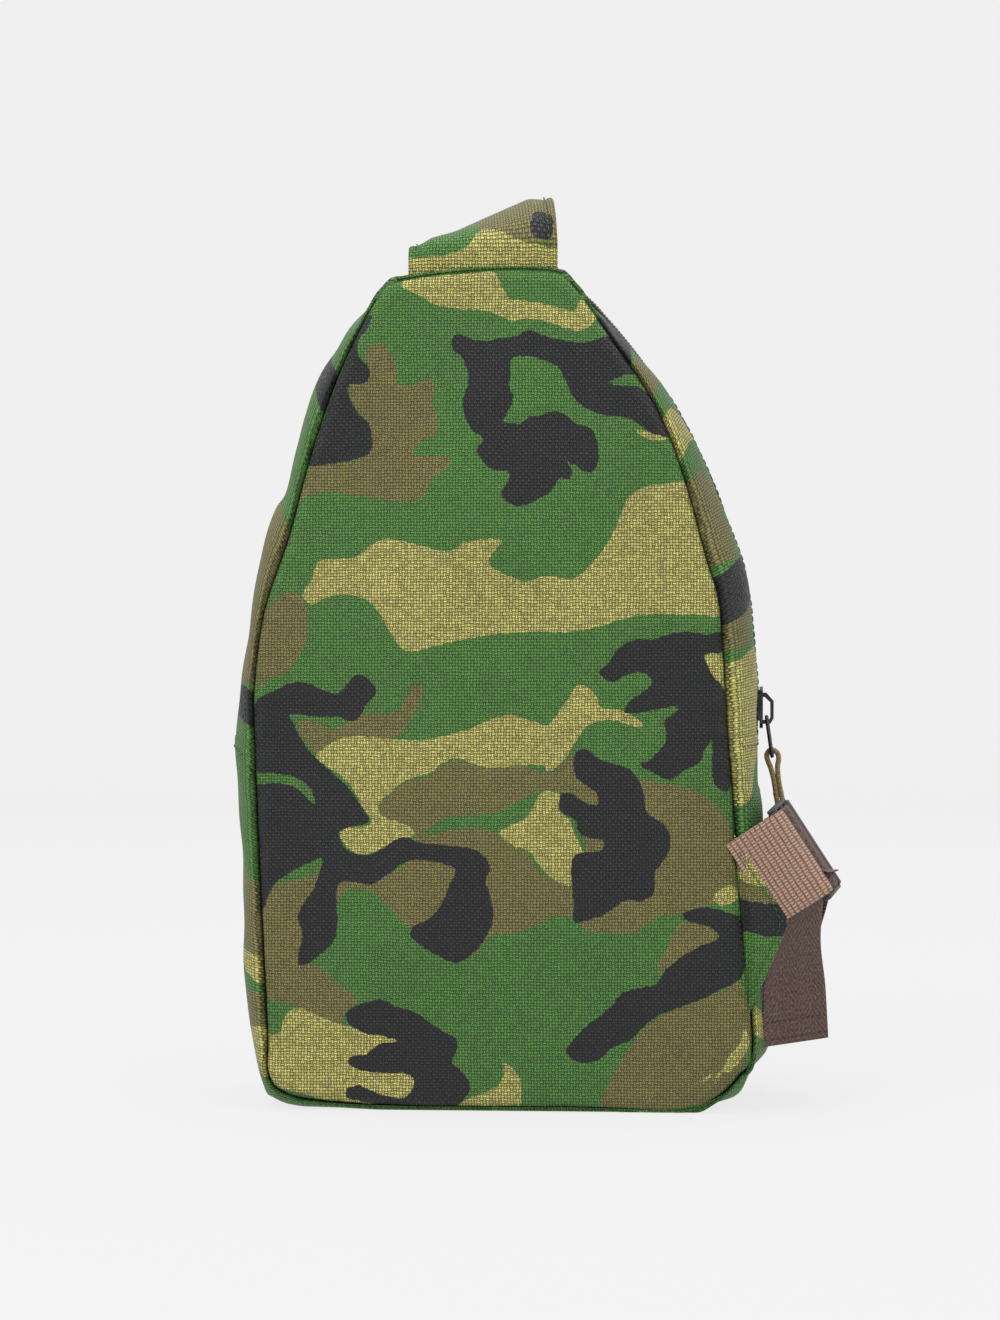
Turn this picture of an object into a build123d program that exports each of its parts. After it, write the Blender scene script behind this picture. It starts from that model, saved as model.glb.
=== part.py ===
"""Sling bag: a teardrop monostrap bag of woven polyester with an arched main zip, a welted front pocket,
a padded shoulder strap and a webbing adjuster on the lower right side tab.

Frame: millimetres, +Z up, the back panel (worn against the body) faces -Y, the front pocket faces +Y.
The origin is the middle of the flat base.
"""

from build123d import *
import os
from math import asin, cos, degrees, radians, sin

os.makedirs("parts", exist_ok=True)

# ---------------------------------------------------------------- driving dimensions, mm
HEIGHT = 337.0  # base to the top seam
RIGHT_X = 105.5  # widest point on the right side
LEFT_X = -104.0
RIGHT_ARC_R = 242.7  # above RIGHT_ARC_Z the right side is one arc, which the main slider follows
RIGHT_ARC_Z = 160.0
LEFT_ARC_R = 305.7
LEFT_ARC_Z = 150.0
BASE_CORNER_R = 22.0
TOP_CORNER_R = 14.0
HALF_DEPTH = 46.5
EDGE_R = 12.0  # rounding from the gusset into the back and front panels
WALL = 2.2  # fabric with its backing
SEAM_Y = 44.0  # the panels meet the gusset here
ZIP_END_Z = 150.0  # the main zip ends at this height on both sides
FOAM = 5.0
LINING = 0.6

SLOT_HALF = 8.0  # half the gap between the gusset strips, where the zip shows
TAPE_HALF = 16.0
TAPE_T = 0.8
COIL_INNER = 0.8  # the coil halves stand off the slider's post by this much
COIL_OUTER = 3.5
COIL_T = 2.4
COIL_DEPTH = 2.4  # coil centre below the gusset's outer face
STOP_H = 1.8

SLIDER_L = 17.0
SLIDER_W = 12.0
PLATE_T = 1.4
CHANNEL = 3.4
FLANGE_W = 1.6
FLANGE_H = 0.8
BRIDGE_W = 2.4
LINK_L = 16.0
LINK_W = 11.6
WIRE_R = 0.8
LINK_TILT = 8.0  # the link leans off the bag by this much, so that the pull clears the fabric
TAPE_TILT = 17.0  # the stiff folded tape leans further off
PULL_L = 24.5
PULL_W = 8.6
PULL_T = 1.7
SLIDER_Z = 161.0  # closed position of the main slider

POCKET_X = -42.0  # centre line of the vertical pocket zip
POCKET_Z0 = 96.0
POCKET_Z1 = 252.0
POCKET_SLOT_HALF = 7.6
POCKET_BAG_Y = 27.0

WEBBING_W = 38.0
WEBBING_T = 1.6
STRAP_W = 61.0
STRAP_T = 8.0
COVER_T = 1.0
LAYER_GAP = 0.2
SECTION_STEP = 9.0  # spacing of the straps' sections


# ---------------------------------------------------------------- outline and outer form
def outline(inset=0.0):
    """The bag's teardrop outline in local X and Z, inset by a distance."""
    right_end = degrees(asin((HEIGHT - RIGHT_ARC_Z) / RIGHT_ARC_R))
    left_end = degrees(asin((HEIGHT - LEFT_ARC_Z) / LEFT_ARC_R))
    with BuildSketch() as face:
        with BuildLine():
            Line((LEFT_X, 0), (RIGHT_X, 0))
            Line((RIGHT_X, 0), (RIGHT_X, RIGHT_ARC_Z))
            right = CenterArc((RIGHT_X - RIGHT_ARC_R, RIGHT_ARC_Z), RIGHT_ARC_R, 0, right_end)
            left = CenterArc((LEFT_X + LEFT_ARC_R, LEFT_ARC_Z), LEFT_ARC_R, 180 - left_end, left_end)
            Line(right @ 1, left @ 0)
            Line((LEFT_X, LEFT_ARC_Z), (LEFT_X, 0))
        make_face()
        fillet(face.vertices().group_by(Axis.Y)[0], BASE_CORNER_R)
        fillet(face.vertices().group_by(Axis.Y)[-1], TOP_CORNER_R)
        if inset:
            offset(amount=-inset, mode=Mode.REPLACE)
    return face.sketch


def plane_at(y):
    """A sketch plane facing -Y at this depth. Its local axes are X and Z."""
    return Plane.XZ.offset(-y)


def rounded_form(inset):
    """The bag's whole outer form as one block with rounded rims, inset by a distance."""
    half_depth = HALF_DEPTH - inset
    with BuildPart() as block:
        with BuildSketch(plane_at(half_depth)):
            add(outline(inset))
        extrude(amount=2 * half_depth)
        rims = block.edges().group_by(Axis.Y)
        fillet(rims[0] + rims[-1], EDGE_R - inset)
    return block.part


def slab(y0, y1, z0=-10.0, z1=400.0):
    """A wide block between two depths and two heights, to keep a band of a form."""
    with BuildPart() as block:
        with BuildSketch(plane_at(y1)):
            with Locations((0, (z0 + z1) / 2)):
                Rectangle(400, z1 - z0)
        extrude(amount=y1 - y0)
    return block.part


def band(inset, thickness, y0, y1, z0, z1):
    """A band of sheet that follows the outline at an inset, between two depths and two heights."""
    with BuildPart() as ring:
        with BuildSketch(plane_at(y1)):
            add(outline(inset))
            add(outline(inset + thickness), mode=Mode.SUBTRACT)
        extrude(amount=y1 - y0)
        add(slab(y0 - 1, y1 + 1, z0, z1), mode=Mode.INTERSECT)
    return ring.part


OUTER_FORM = rounded_form(0)
INNER_FORM = rounded_form(WALL)

# ---------------------------------------------------------------- shell panels
with BuildPart() as back_panel:
    add(OUTER_FORM)
    add(INNER_FORM, mode=Mode.SUBTRACT)
    add(slab(-60, -SEAM_Y), mode=Mode.INTERSECT)
back_panel.part.label = "back_panel"
export_step(back_panel.part, "parts/back_panel.step")

with BuildPart() as lower_gusset:
    add(OUTER_FORM)
    add(INNER_FORM, mode=Mode.SUBTRACT)
    add(slab(-SEAM_Y, SEAM_Y, z1=ZIP_END_Z), mode=Mode.INTERSECT)
lower_gusset.part.label = "lower_gusset"
export_step(lower_gusset.part, "parts/lower_gusset.step")

with BuildPart() as gusset_rear_strip:
    add(OUTER_FORM)
    add(INNER_FORM, mode=Mode.SUBTRACT)
    add(slab(-SEAM_Y, -SLOT_HALF, z0=ZIP_END_Z), mode=Mode.INTERSECT)
gusset_rear_strip.part.label = "gusset_rear_strip"
export_step(gusset_rear_strip.part, "parts/gusset_rear_strip.step")

with BuildPart() as gusset_front_strip:
    add(OUTER_FORM)
    add(INNER_FORM, mode=Mode.SUBTRACT)
    add(slab(SLOT_HALF, SEAM_Y, z0=ZIP_END_Z), mode=Mode.INTERSECT)
gusset_front_strip.part.label = "gusset_front_strip"
export_step(gusset_front_strip.part, "parts/gusset_front_strip.step")


def pocket_window(half_width, margin, y0, y1):
    """The long rounded window of the pocket zip as a solid between two depths."""
    length = POCKET_Z1 - POCKET_Z0 + 2 * margin
    with BuildPart() as window:
        with BuildSketch(plane_at(y1)):
            with Locations((POCKET_X, (POCKET_Z0 + POCKET_Z1) / 2)):
                RectangleRounded(2 * half_width, length, half_width * 0.4)
        extrude(amount=y1 - y0)
    return window.part


with BuildPart() as front_panel:
    add(OUTER_FORM)
    add(INNER_FORM, mode=Mode.SUBTRACT)
    add(slab(SEAM_Y, 60), mode=Mode.INTERSECT)
    add(pocket_window(POCKET_SLOT_HALF, 4, 40, 50), mode=Mode.SUBTRACT)
front_panel.part.label = "front_panel"
export_step(front_panel.part, "parts/front_panel.step")

with BuildPart() as pocket_welt:
    add(pocket_window(POCKET_SLOT_HALF + 4, 8, HALF_DEPTH, HALF_DEPTH + 0.9))
    add(pocket_window(POCKET_SLOT_HALF, 4, HALF_DEPTH - 1, HALF_DEPTH + 2), mode=Mode.SUBTRACT)
pocket_welt.part.label = "pocket_welt"
export_step(pocket_welt.part, "parts/pocket_welt.step")

# ---------------------------------------------------------------- padding and lining
TAPE_IN = WALL + TAPE_T  # the lining lies under the zip tapes
LINING_Y = HALF_DEPTH - EDGE_R  # the gusset is straight between these depths
FOAM_Y = -HALF_DEPTH + WALL + FOAM
BACK_LINING_INSET = 4.5

with BuildPart() as back_foam:
    with BuildSketch(plane_at(FOAM_Y)):
        add(outline(EDGE_R))
    extrude(amount=FOAM)
back_foam.part.label = "back_foam"
export_step(back_foam.part, "parts/back_foam.step")

with BuildPart() as back_lining:
    with BuildSketch(plane_at(FOAM_Y + LINING)):
        add(outline(BACK_LINING_INSET))
    extrude(amount=LINING)
back_lining.part.label = "back_lining"
export_step(back_lining.part, "parts/back_lining.step")

with BuildPart() as front_lining:
    with BuildSketch(plane_at(POCKET_BAG_Y)):
        add(outline(TAPE_IN + LINING))
    extrude(amount=LINING)
front_lining.part.label = "front_lining"
export_step(front_lining.part, "parts/front_lining.step")

with BuildPart() as lining_rear_strip:
    add(band(TAPE_IN, LINING, -LINING_Y, -SLOT_HALF - 0.5, ZIP_END_Z, 400))
lining_rear_strip.part.label = "lining_rear_strip"
export_step(lining_rear_strip.part, "parts/lining_rear_strip.step")

with BuildPart() as lining_front_strip:
    add(band(TAPE_IN, LINING, SLOT_HALF + 0.5, POCKET_BAG_Y - LINING, ZIP_END_Z, 400))
lining_front_strip.part.label = "lining_front_strip"
export_step(lining_front_strip.part, "parts/lining_front_strip.step")

with BuildPart() as lining_base:
    add(band(WALL, LINING, -LINING_Y, POCKET_BAG_Y - LINING, -10, ZIP_END_Z))
lining_base.part.label = "lining_base"
export_step(lining_base.part, "parts/lining_base.step")

# The pocket's pouch hangs behind the front panel and opens through the zip's window.
POUCH_X0 = -84.0
POUCH_X1 = 78.0
POUCH_Z0 = 34.0
POUCH_Z1 = 262.0
POUCH_SHOULDER_Z = 200.0
POUCH_TOP_X = 60.0
POUCH_WALL = 1.0
POUCH_FRONT_Y = HALF_DEPTH - WALL - 1.6
POUCH_BACK_Y = POCKET_BAG_Y + 0.6


def pouch_form(inset):
    """The pouch's outer or inner form, inset by a distance."""
    with BuildPart() as form:
        with BuildSketch(plane_at(POUCH_FRONT_Y - inset)):
            with BuildLine():
                Polyline(
                    (POUCH_X0, POUCH_Z0),
                    (POUCH_X1, POUCH_Z0),
                    (POUCH_X1, POUCH_SHOULDER_Z),
                    (POUCH_TOP_X, POUCH_Z1),
                    (-POUCH_TOP_X - 8, POUCH_Z1),
                    (POUCH_X0, POUCH_SHOULDER_Z),
                    close=True,
                )
            make_face()
            if inset:
                offset(amount=-inset, mode=Mode.REPLACE)
        extrude(amount=POUCH_FRONT_Y - POUCH_BACK_Y - 2 * inset)
    return form.part


with BuildPart() as pocket_pouch:
    add(pouch_form(0))
    add(pouch_form(POUCH_WALL), mode=Mode.SUBTRACT)
    add(pocket_window(TAPE_HALF - 4, 3, POUCH_FRONT_Y - 2, POUCH_FRONT_Y + 2), mode=Mode.SUBTRACT)
pocket_pouch.part.label = "pocket_pouch"
export_step(pocket_pouch.part, "parts/pocket_pouch.step")

# ---------------------------------------------------------------- main zip, round the arch
COIL_INSET = COIL_DEPTH - COIL_T / 2

with BuildPart() as main_zip_tape_rear:
    add(band(WALL, TAPE_T, -TAPE_HALF, -COIL_OUTER, ZIP_END_Z, 400))
main_zip_tape_rear.part.label = "main_zip_tape_rear"
export_step(main_zip_tape_rear.part, "parts/main_zip_tape_rear.step")

with BuildPart() as main_zip_tape_front:
    add(band(WALL, TAPE_T, COIL_OUTER, TAPE_HALF, ZIP_END_Z, 400))
main_zip_tape_front.part.label = "main_zip_tape_front"
export_step(main_zip_tape_front.part, "parts/main_zip_tape_front.step")

with BuildPart() as main_zip_coil_rear:
    add(band(COIL_INSET, COIL_T, -COIL_OUTER, -COIL_INNER, ZIP_END_Z + STOP_H, 400))
main_zip_coil_rear.part.label = "main_zip_coil_rear"
export_step(main_zip_coil_rear.part, "parts/main_zip_coil_rear.step")

with BuildPart() as main_zip_coil_front:
    add(band(COIL_INSET, COIL_T, COIL_INNER, COIL_OUTER, ZIP_END_Z + STOP_H, 400))
main_zip_coil_front.part.label = "main_zip_coil_front"
export_step(main_zip_coil_front.part, "parts/main_zip_coil_front.step")

with BuildPart() as main_zip_stops:
    with BuildSketch(Plane.XY.offset(ZIP_END_Z)):
        with Locations((LEFT_X + COIL_DEPTH, 0), (RIGHT_X - COIL_DEPTH, 0)):
            Rectangle(COIL_T, 2 * COIL_OUTER)
    extrude(amount=STOP_H)
main_zip_stops.part.label = "main_zip_stops"
export_step(main_zip_stops.part, "parts/main_zip_stops.step")

# ---------------------------------------------------------------- pocket zip, straight and vertical
POCKET_COIL_Y = HALF_DEPTH - COIL_DEPTH
TAPE_MARGIN_W = 9.0


def upright_strip(x0, x1, front_y, thickness, z0, z1):
    """A straight vertical strip between two x and two heights, with its front face at front_y."""
    with BuildPart() as strip:
        with BuildSketch(plane_at(front_y)):
            with Locations(((x0 + x1) / 2, (z0 + z1) / 2)):
                Rectangle(abs(x1 - x0), z1 - z0)
        extrude(amount=thickness)
    return strip.part


def pocket_tape(side):
    """One tape: a tongue beside the coil, and the sewn margin behind the front panel."""
    z0 = POCKET_Z0 - 1.5
    z1 = POCKET_Z1 + 1.5
    tongue_x0 = POCKET_X + side * COIL_OUTER
    tongue_x1 = POCKET_X + side * (POCKET_SLOT_HALF - 0.2)
    margin_x0 = POCKET_X + side * (COIL_OUTER + 1)
    margin_x1 = margin_x0 + side * TAPE_MARGIN_W
    with BuildPart() as tape:
        add(upright_strip(tongue_x0, tongue_x1, POCKET_COIL_Y + TAPE_T / 2, TAPE_T, z0, z1))
        add(upright_strip(margin_x0, margin_x1, HALF_DEPTH - WALL, TAPE_T, z0, z1))
    return tape.part


def pocket_coil(side):
    """One half of the coil, between the stops."""
    x0 = POCKET_X + side * COIL_INNER
    x1 = POCKET_X + side * COIL_OUTER
    front_y = POCKET_COIL_Y + COIL_T / 2
    return upright_strip(x0, x1, front_y, COIL_T, POCKET_Z0 + STOP_H, POCKET_Z1 - STOP_H)


with BuildPart() as pocket_zip_tape_left:
    add(pocket_tape(-1))
pocket_zip_tape_left.part.label = "pocket_zip_tape_left"
export_step(pocket_zip_tape_left.part, "parts/pocket_zip_tape_left.step")

with BuildPart() as pocket_zip_tape_right:
    add(pocket_tape(1))
pocket_zip_tape_right.part.label = "pocket_zip_tape_right"
export_step(pocket_zip_tape_right.part, "parts/pocket_zip_tape_right.step")

with BuildPart() as pocket_zip_coil_left:
    add(pocket_coil(-1))
pocket_zip_coil_left.part.label = "pocket_zip_coil_left"
export_step(pocket_zip_coil_left.part, "parts/pocket_zip_coil_left.step")

with BuildPart() as pocket_zip_coil_right:
    add(pocket_coil(1))
pocket_zip_coil_right.part.label = "pocket_zip_coil_right"
export_step(pocket_zip_coil_right.part, "parts/pocket_zip_coil_right.step")

with BuildPart() as pocket_zip_stops:
    with BuildSketch(plane_at(POCKET_COIL_Y + COIL_T / 2)):
        with Locations((POCKET_X, POCKET_Z0 + STOP_H / 2), (POCKET_X, POCKET_Z1 - STOP_H / 2)):
            Rectangle(2 * COIL_OUTER, STOP_H)
    extrude(amount=COIL_T)
pocket_zip_stops.part.label = "pocket_zip_stops"
export_step(pocket_zip_stops.part, "parts/pocket_zip_stops.step")

# ---------------------------------------------------------------- sliders and pulls
# Each is drawn in a frame whose local x is up along the zip, y across it and z out of the bag.
POCKET_SLIDER_Z = POCKET_Z0 + STOP_H + SLIDER_L / 2 + 0.7
MAIN_FRAME = Plane(origin=(RIGHT_X - COIL_DEPTH, 0, SLIDER_Z), x_dir=(0, 0, 1), z_dir=(1, 0, 0))
POCKET_FRAME = Plane(
    origin=(POCKET_X, POCKET_COIL_Y, POCKET_SLIDER_Z), x_dir=(0, 0, 1), z_dir=(0, 1, 0)
)
EYE_X = -4.0  # where the link's wire lies in the bridge
EYE_Z = CHANNEL / 2 + PLATE_T + 1.5


def side_plane(frame, shift):
    """A plane along a frame's x and z, moved across the zip by shift."""
    return Plane(frame.origin + frame.y_dir * shift, x_dir=frame.x_dir, z_dir=-frame.y_dir)


def zip_slider(frame):
    """Two plates with turned-in flanges, the post that joins them, and the bridge for the link."""
    foot = CHANNEL / 2 + PLATE_T - 0.2
    with BuildPart() as slider:
        for side in (1, -1):
            with BuildSketch(frame.offset(side * CHANNEL / 2)):
                RectangleRounded(SLIDER_L, SLIDER_W, 3)
            extrude(amount=side * PLATE_T)
            with BuildSketch(frame.offset(side * (CHANNEL / 2 - FLANGE_H))):
                with GridLocations(0, SLIDER_W - FLANGE_W, 1, 2):
                    Rectangle(SLIDER_L - 6.2, FLANGE_W)
            extrude(amount=side * FLANGE_H)
        with BuildSketch(frame.offset(-CHANNEL / 2 - 0.2)):
            with Locations((5.6, 0)):
                Rectangle(3.0, 0.8)
        extrude(amount=CHANNEL + 0.4)
        with BuildSketch(side_plane(frame, BRIDGE_W / 2)):
            with BuildLine():
                Polyline(
                    (-6.8, foot),
                    (-6.8, foot + 3.2),
                    (-4.6, foot + 4.6),
                    (2.6, foot + 4.6),
                    (6.0, foot + 1.6),
                    (6.0, foot),
                    close=True,
                )
            make_face()
            with BuildLine():
                Polyline(
                    (-5.2, foot + 0.2),
                    (-5.2, foot + 2.6),
                    (-4.2, foot + 3.2),
                    (2.0, foot + 3.2),
                    (4.2, foot + 0.9),
                    (4.2, foot + 0.2),
                    close=True,
                )
            make_face(mode=Mode.SUBTRACT)
        extrude(amount=BRIDGE_W)
    return slider.part


def link_frame(frame):
    """The link's own frame: at the eye, leaning off the bag, with x down the link."""
    eye = frame.from_local_coords(Vector(EYE_X, 0, EYE_Z))
    down = frame.z_dir * sin(radians(LINK_TILT)) - frame.x_dir * cos(radians(LINK_TILT))
    return Plane(origin=eye, x_dir=down, z_dir=down.cross(frame.y_dir))


def pull_link(frame):
    """A closed wire loop that hangs in the slider's bridge."""
    half = LINK_W / 2
    with BuildPart() as link:
        with BuildLine(link_frame(frame)) as loop:
            FilletPolyline((0, half), (LINK_L, half), (LINK_L, -half), (0, -half), radius=2, close=True)
        with BuildSketch(Plane(origin=loop.line @ 0, z_dir=loop.line % 0)):
            Circle(WIRE_R)
        sweep()
    return link.part


def pull_tape(frame):
    """A woven tape folded over the link's lower wire and stitched to itself below it."""
    hold = link_frame(frame).from_local_coords(Vector(LINK_L, 0, 0))
    down = frame.z_dir * sin(radians(TAPE_TILT)) - frame.x_dir * cos(radians(TAPE_TILT))
    eye_r = WIRE_R + 0.45
    with BuildPart() as tape:
        with BuildSketch(Plane(hold + frame.y_dir * (PULL_W / 2), x_dir=down, z_dir=-frame.y_dir)):
            Circle(eye_r + PULL_T)
            with Locations((PULL_L / 2, 0)):
                Rectangle(PULL_L, 2 * PULL_T)
            with Locations((PULL_L - 1.2, 0)):
                RectangleRounded(4.6, 2 * PULL_T + 1.4, 0.8)
            Circle(eye_r, mode=Mode.SUBTRACT)
        extrude(amount=PULL_W)
    return tape.part


with BuildPart() as main_slider:
    add(zip_slider(MAIN_FRAME))
main_slider.part.label = "main_slider"
export_step(main_slider.part, "parts/main_slider.step")

with BuildPart() as main_pull_link:
    add(pull_link(MAIN_FRAME))
main_pull_link.part.label = "main_pull_link"
export_step(main_pull_link.part, "parts/main_pull_link.step")

with BuildPart() as main_pull_tape:
    add(pull_tape(MAIN_FRAME))
main_pull_tape.part.label = "main_pull_tape"
export_step(main_pull_tape.part, "parts/main_pull_tape.step")

with BuildPart() as pocket_slider:
    add(zip_slider(POCKET_FRAME))
pocket_slider.part.label = "pocket_slider"
export_step(pocket_slider.part, "parts/pocket_slider.step")

with BuildPart() as pocket_pull_link:
    add(pull_link(POCKET_FRAME))
pocket_pull_link.part.label = "pocket_pull_link"
export_step(pocket_pull_link.part, "parts/pocket_pull_link.step")

with BuildPart() as pocket_pull_tape:
    add(pull_tape(POCKET_FRAME))
pocket_pull_tape.part.label = "pocket_pull_tape"
export_step(pocket_pull_tape.part, "parts/pocket_pull_tape.step")


# ---------------------------------------------------------------- shoulder strap and webbing
def ribbon(stations, width, thickness, shift=0.0):
    """A flat strap through stations of (centre, across, share of the width), ruled between close sections."""
    centres = [Vector(*centre) for centre, across, share in stations]
    spans = [(end - start).length for start, end in zip(centres, centres[1:])]
    total = sum(spans)
    path = Spline(*centres)
    with BuildPart() as strip:
        for i, span in enumerate(spans):
            across_0, share_0 = Vector(*stations[i][1]), stations[i][2]
            across_1, share_1 = Vector(*stations[i + 1][1]), stations[i + 1][2]
            steps = max(2, round(span / SECTION_STEP))
            for k in range(steps + (i == len(spans) - 1)):
                part_way = k / steps
                along = (sum(spans[:i]) + span * part_way) / total
                tangent = path % along
                side = across_0 * (1 - part_way) + across_1 * part_way
                side = (side - tangent * side.dot(tangent)).normalized()
                share = share_0 * (1 - part_way) + share_1 * part_way
                with BuildSketch(Plane(origin=path @ along, x_dir=side, z_dir=tangent)):
                    with Locations((0, shift)):
                        Rectangle(width * share, thickness)
        loft(ruled=True)
    return strip.part


# The strap rises from the top seam, turns over the top and bows down in front of the bag.
STRAP_STATIONS = [
    ((-6, -40, 341), (1, 0, 0.02), 1.0),
    ((-6, -36, 350), (0.98, 0, 0.20), 1.0),
    ((-6.5, -18, 355.5), (0.918, 0, 0.397), 1.0),
    ((-9, 12, 356.5), (0.94, 0, 0.34), 1.0),
    ((-12, 44, 350), (0.945, 0, 0.325), 1.0),
    ((-4, 68, 318), (0.94, 0, 0.34), 1.0),
    ((17, 79, 264), (0.93, 0, 0.36), 1.0),
    ((41, 82, 208), (0.94, 0, 0.34), 0.98),
    ((56, 80, 158), (0.94, 0, 0.33), 0.86),
    ((66, 77, 124), (0.94, 0, 0.33), 0.72),
]
FOAM_T = STRAP_T - 2 * COVER_T - 2 * LAYER_GAP
COVER_SHIFT = (STRAP_T - COVER_T) / 2

with BuildPart() as strap_outer_cover:
    add(ribbon(STRAP_STATIONS, STRAP_W, COVER_T, -COVER_SHIFT))
strap_outer_cover.part.label = "strap_outer_cover"
export_step(strap_outer_cover.part, "parts/strap_outer_cover.step")

with BuildPart() as strap_foam:
    add(ribbon(STRAP_STATIONS, STRAP_W - 5, FOAM_T))
strap_foam.part.label = "strap_foam"
export_step(strap_foam.part, "parts/strap_foam.step")

with BuildPart() as strap_inner_cover:
    add(ribbon(STRAP_STATIONS, STRAP_W, COVER_T, COVER_SHIFT))
strap_inner_cover.part.label = "strap_inner_cover"
export_step(strap_inner_cover.part, "parts/strap_inner_cover.step")

# A short web sewn into the top seam carries the strap.
ANCHOR_T = 3.0
ANCHOR_TOP_Z = 340.2
with BuildPart() as strap_anchor:
    with BuildSketch(Plane.XY.offset(ANCHOR_TOP_Z)):
        with Locations((-6, -40)):
            Rectangle(STRAP_W - 4, ANCHOR_T)
    extrude(amount=-8)
    add(OUTER_FORM, mode=Mode.SUBTRACT)
strap_anchor.part.label = "strap_anchor"
export_step(strap_anchor.part, "parts/strap_anchor.step")

# A stitched fabric patch closes the strap's end over the webbing.
with BuildPart() as strap_end_patch:
    with BuildSketch(Plane(origin=(67.0, 76.7, 120.6), x_dir=(0.95, 0, 0.30), z_dir=(0.30, -0.08, -0.95))):
        Rectangle(STRAP_W * 0.72, STRAP_T)
    extrude(amount=5.5, taper=16)
strap_end_patch.part.label = "strap_end_patch"
export_step(strap_end_patch.part, "parts/strap_end_patch.step")

# The webbing leaves the strap's end, turns round the bag's front corner and runs back to the adjuster.
WEBBING_STATIONS = [
    ((69.5, 76.2, 112), (0.94, 0, 0.33), 1.0),
    ((78, 77, 92), (0.85, 0.1, 0.5), 1.0),
    ((92, 75, 76), (0.55, 0.25, 0.8), 1.0),
    ((108, 66, 70), (0.2, 0.1, 0.97), 1.0),
    ((119, 50, 71), (0, 0, 1), 1.0),
    ((123, 28, 79), (-0.2, 0.1, 0.97), 1.0),
    ((123.6, 7, 91.5), (-0.4, 0.2, 0.89), 1.0),
    ((122.9, -8.2, 101.4), (-0.543, 0, 0.84), 1.0),
]
with BuildPart() as strap_webbing:
    add(ribbon(WEBBING_STATIONS, WEBBING_W, WEBBING_T))
strap_webbing.part.label = "strap_webbing"
export_step(strap_webbing.part, "parts/strap_webbing.step")

# ---------------------------------------------------------------- side tab, loop and ladder lock
TAB_Y = -44.8
TAB_T = 3.4
TAB_ROOT = Vector(95.0, TAB_Y, 111.0)  # the slanted edge starts here, under the gusset's seam
TAB_TIP = Vector(117.0, TAB_Y, 77.0)
TAB_FOOT_Z = 32.0
EDGE_ALONG = (TAB_TIP - TAB_ROOT).normalized()
EDGE_OUT = Vector(-EDGE_ALONG.Z, 0, EDGE_ALONG.X)
LOOP_MID = (TAB_TIP + TAB_ROOT) * 0.5
LOOP_REACH = 17.5  # tab edge to the middle of the lock's bar
BAR_R = 2.0
LOOP_IN_R = BAR_R + 0.4

with BuildPart() as side_tab:
    with BuildSketch(plane_at(TAB_Y + TAB_T / 2)):
        with BuildLine():
            Polyline((TAB_ROOT.X, TAB_ROOT.Z), (TAB_TIP.X, TAB_TIP.Z), (TAB_ROOT.X, TAB_FOOT_Z), close=True)
        make_face()
    extrude(amount=TAB_T)
    add(OUTER_FORM, mode=Mode.SUBTRACT)
side_tab.part.label = "side_tab"
export_step(side_tab.part, "parts/side_tab.step")


def loop_section(radius, neck):
    """The loop's section: a neck at the tab's edge that swells to a round end about the bar."""
    with BuildSketch() as section:
        with Locations((0.55, 0)):
            Rectangle(1.0, neck)
        with Locations((LOOP_REACH, 0)):
            Circle(radius)
        make_hull()
    return section.sketch


with BuildPart() as tab_webbing_loop:
    with BuildSketch(Plane(LOOP_MID - EDGE_ALONG * (WEBBING_W / 2), x_dir=EDGE_OUT, z_dir=EDGE_ALONG)):
        add(loop_section(LOOP_IN_R + WEBBING_T, 2 * WEBBING_T))
        add(loop_section(LOOP_IN_R, 0.1), mode=Mode.SUBTRACT)
    extrude(amount=WEBBING_W)
    add(OUTER_FORM, mode=Mode.SUBTRACT)
tab_webbing_loop.part.label = "tab_webbing_loop"
export_step(tab_webbing_loop.part, "parts/tab_webbing_loop.step")

# The lock's frame: x along the lock from its first bar, z out from the gusset.
LOCK_LEAN = radians(12)
LOCK_ALONG = Vector(0, cos(LOCK_LEAN), 0) + EDGE_OUT * sin(LOCK_LEAN)
LOCK_OUT = EDGE_OUT * cos(LOCK_LEAN) - Vector(0, sin(LOCK_LEAN), 0)
LOCK_PLANE = Plane(origin=LOOP_MID + EDGE_OUT * LOOP_REACH, x_dir=LOCK_ALONG, z_dir=LOCK_OUT)
LOCK_L = 24.0
LOCK_RAIL = 3.0
LOCK_HALF_W = WEBBING_W / 2 + 0.8
SECOND_BAR = 11.5
THIRD_BAR = 21.5


def lock_section(half_width):
    """A plane across the lock whose local x runs along it, starting half_width to one side."""
    origin = LOCK_PLANE.from_local_coords(Vector(0, -half_width, 0))
    return Plane(origin=origin, x_dir=LOCK_ALONG, z_dir=LOCK_PLANE.y_dir)


with BuildPart() as ladder_lock:
    with BuildSketch(LOCK_PLANE.offset(-BAR_R)):
        with Locations((LOCK_L / 2 - BAR_R, 0)):
            with GridLocations(0, 2 * LOCK_HALF_W + LOCK_RAIL, 1, 2):
                RectangleRounded(LOCK_L + BAR_R, LOCK_RAIL, 1.2)
    extrude(amount=2 * BAR_R)
    with BuildSketch(lock_section(LOCK_HALF_W + 1)):
        Circle(BAR_R)
        with Locations((SECOND_BAR, 0), (THIRD_BAR, 0)):
            RectangleRounded(3.2, 3.0, 0.9)
        with Locations((THIRD_BAR + 2.6, -1.0)):
            Rectangle(4.5, 1.8)
    extrude(amount=2 * LOCK_HALF_W + 2)
ladder_lock.part.label = "ladder_lock"
export_step(ladder_lock.part, "parts/ladder_lock.step")

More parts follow.
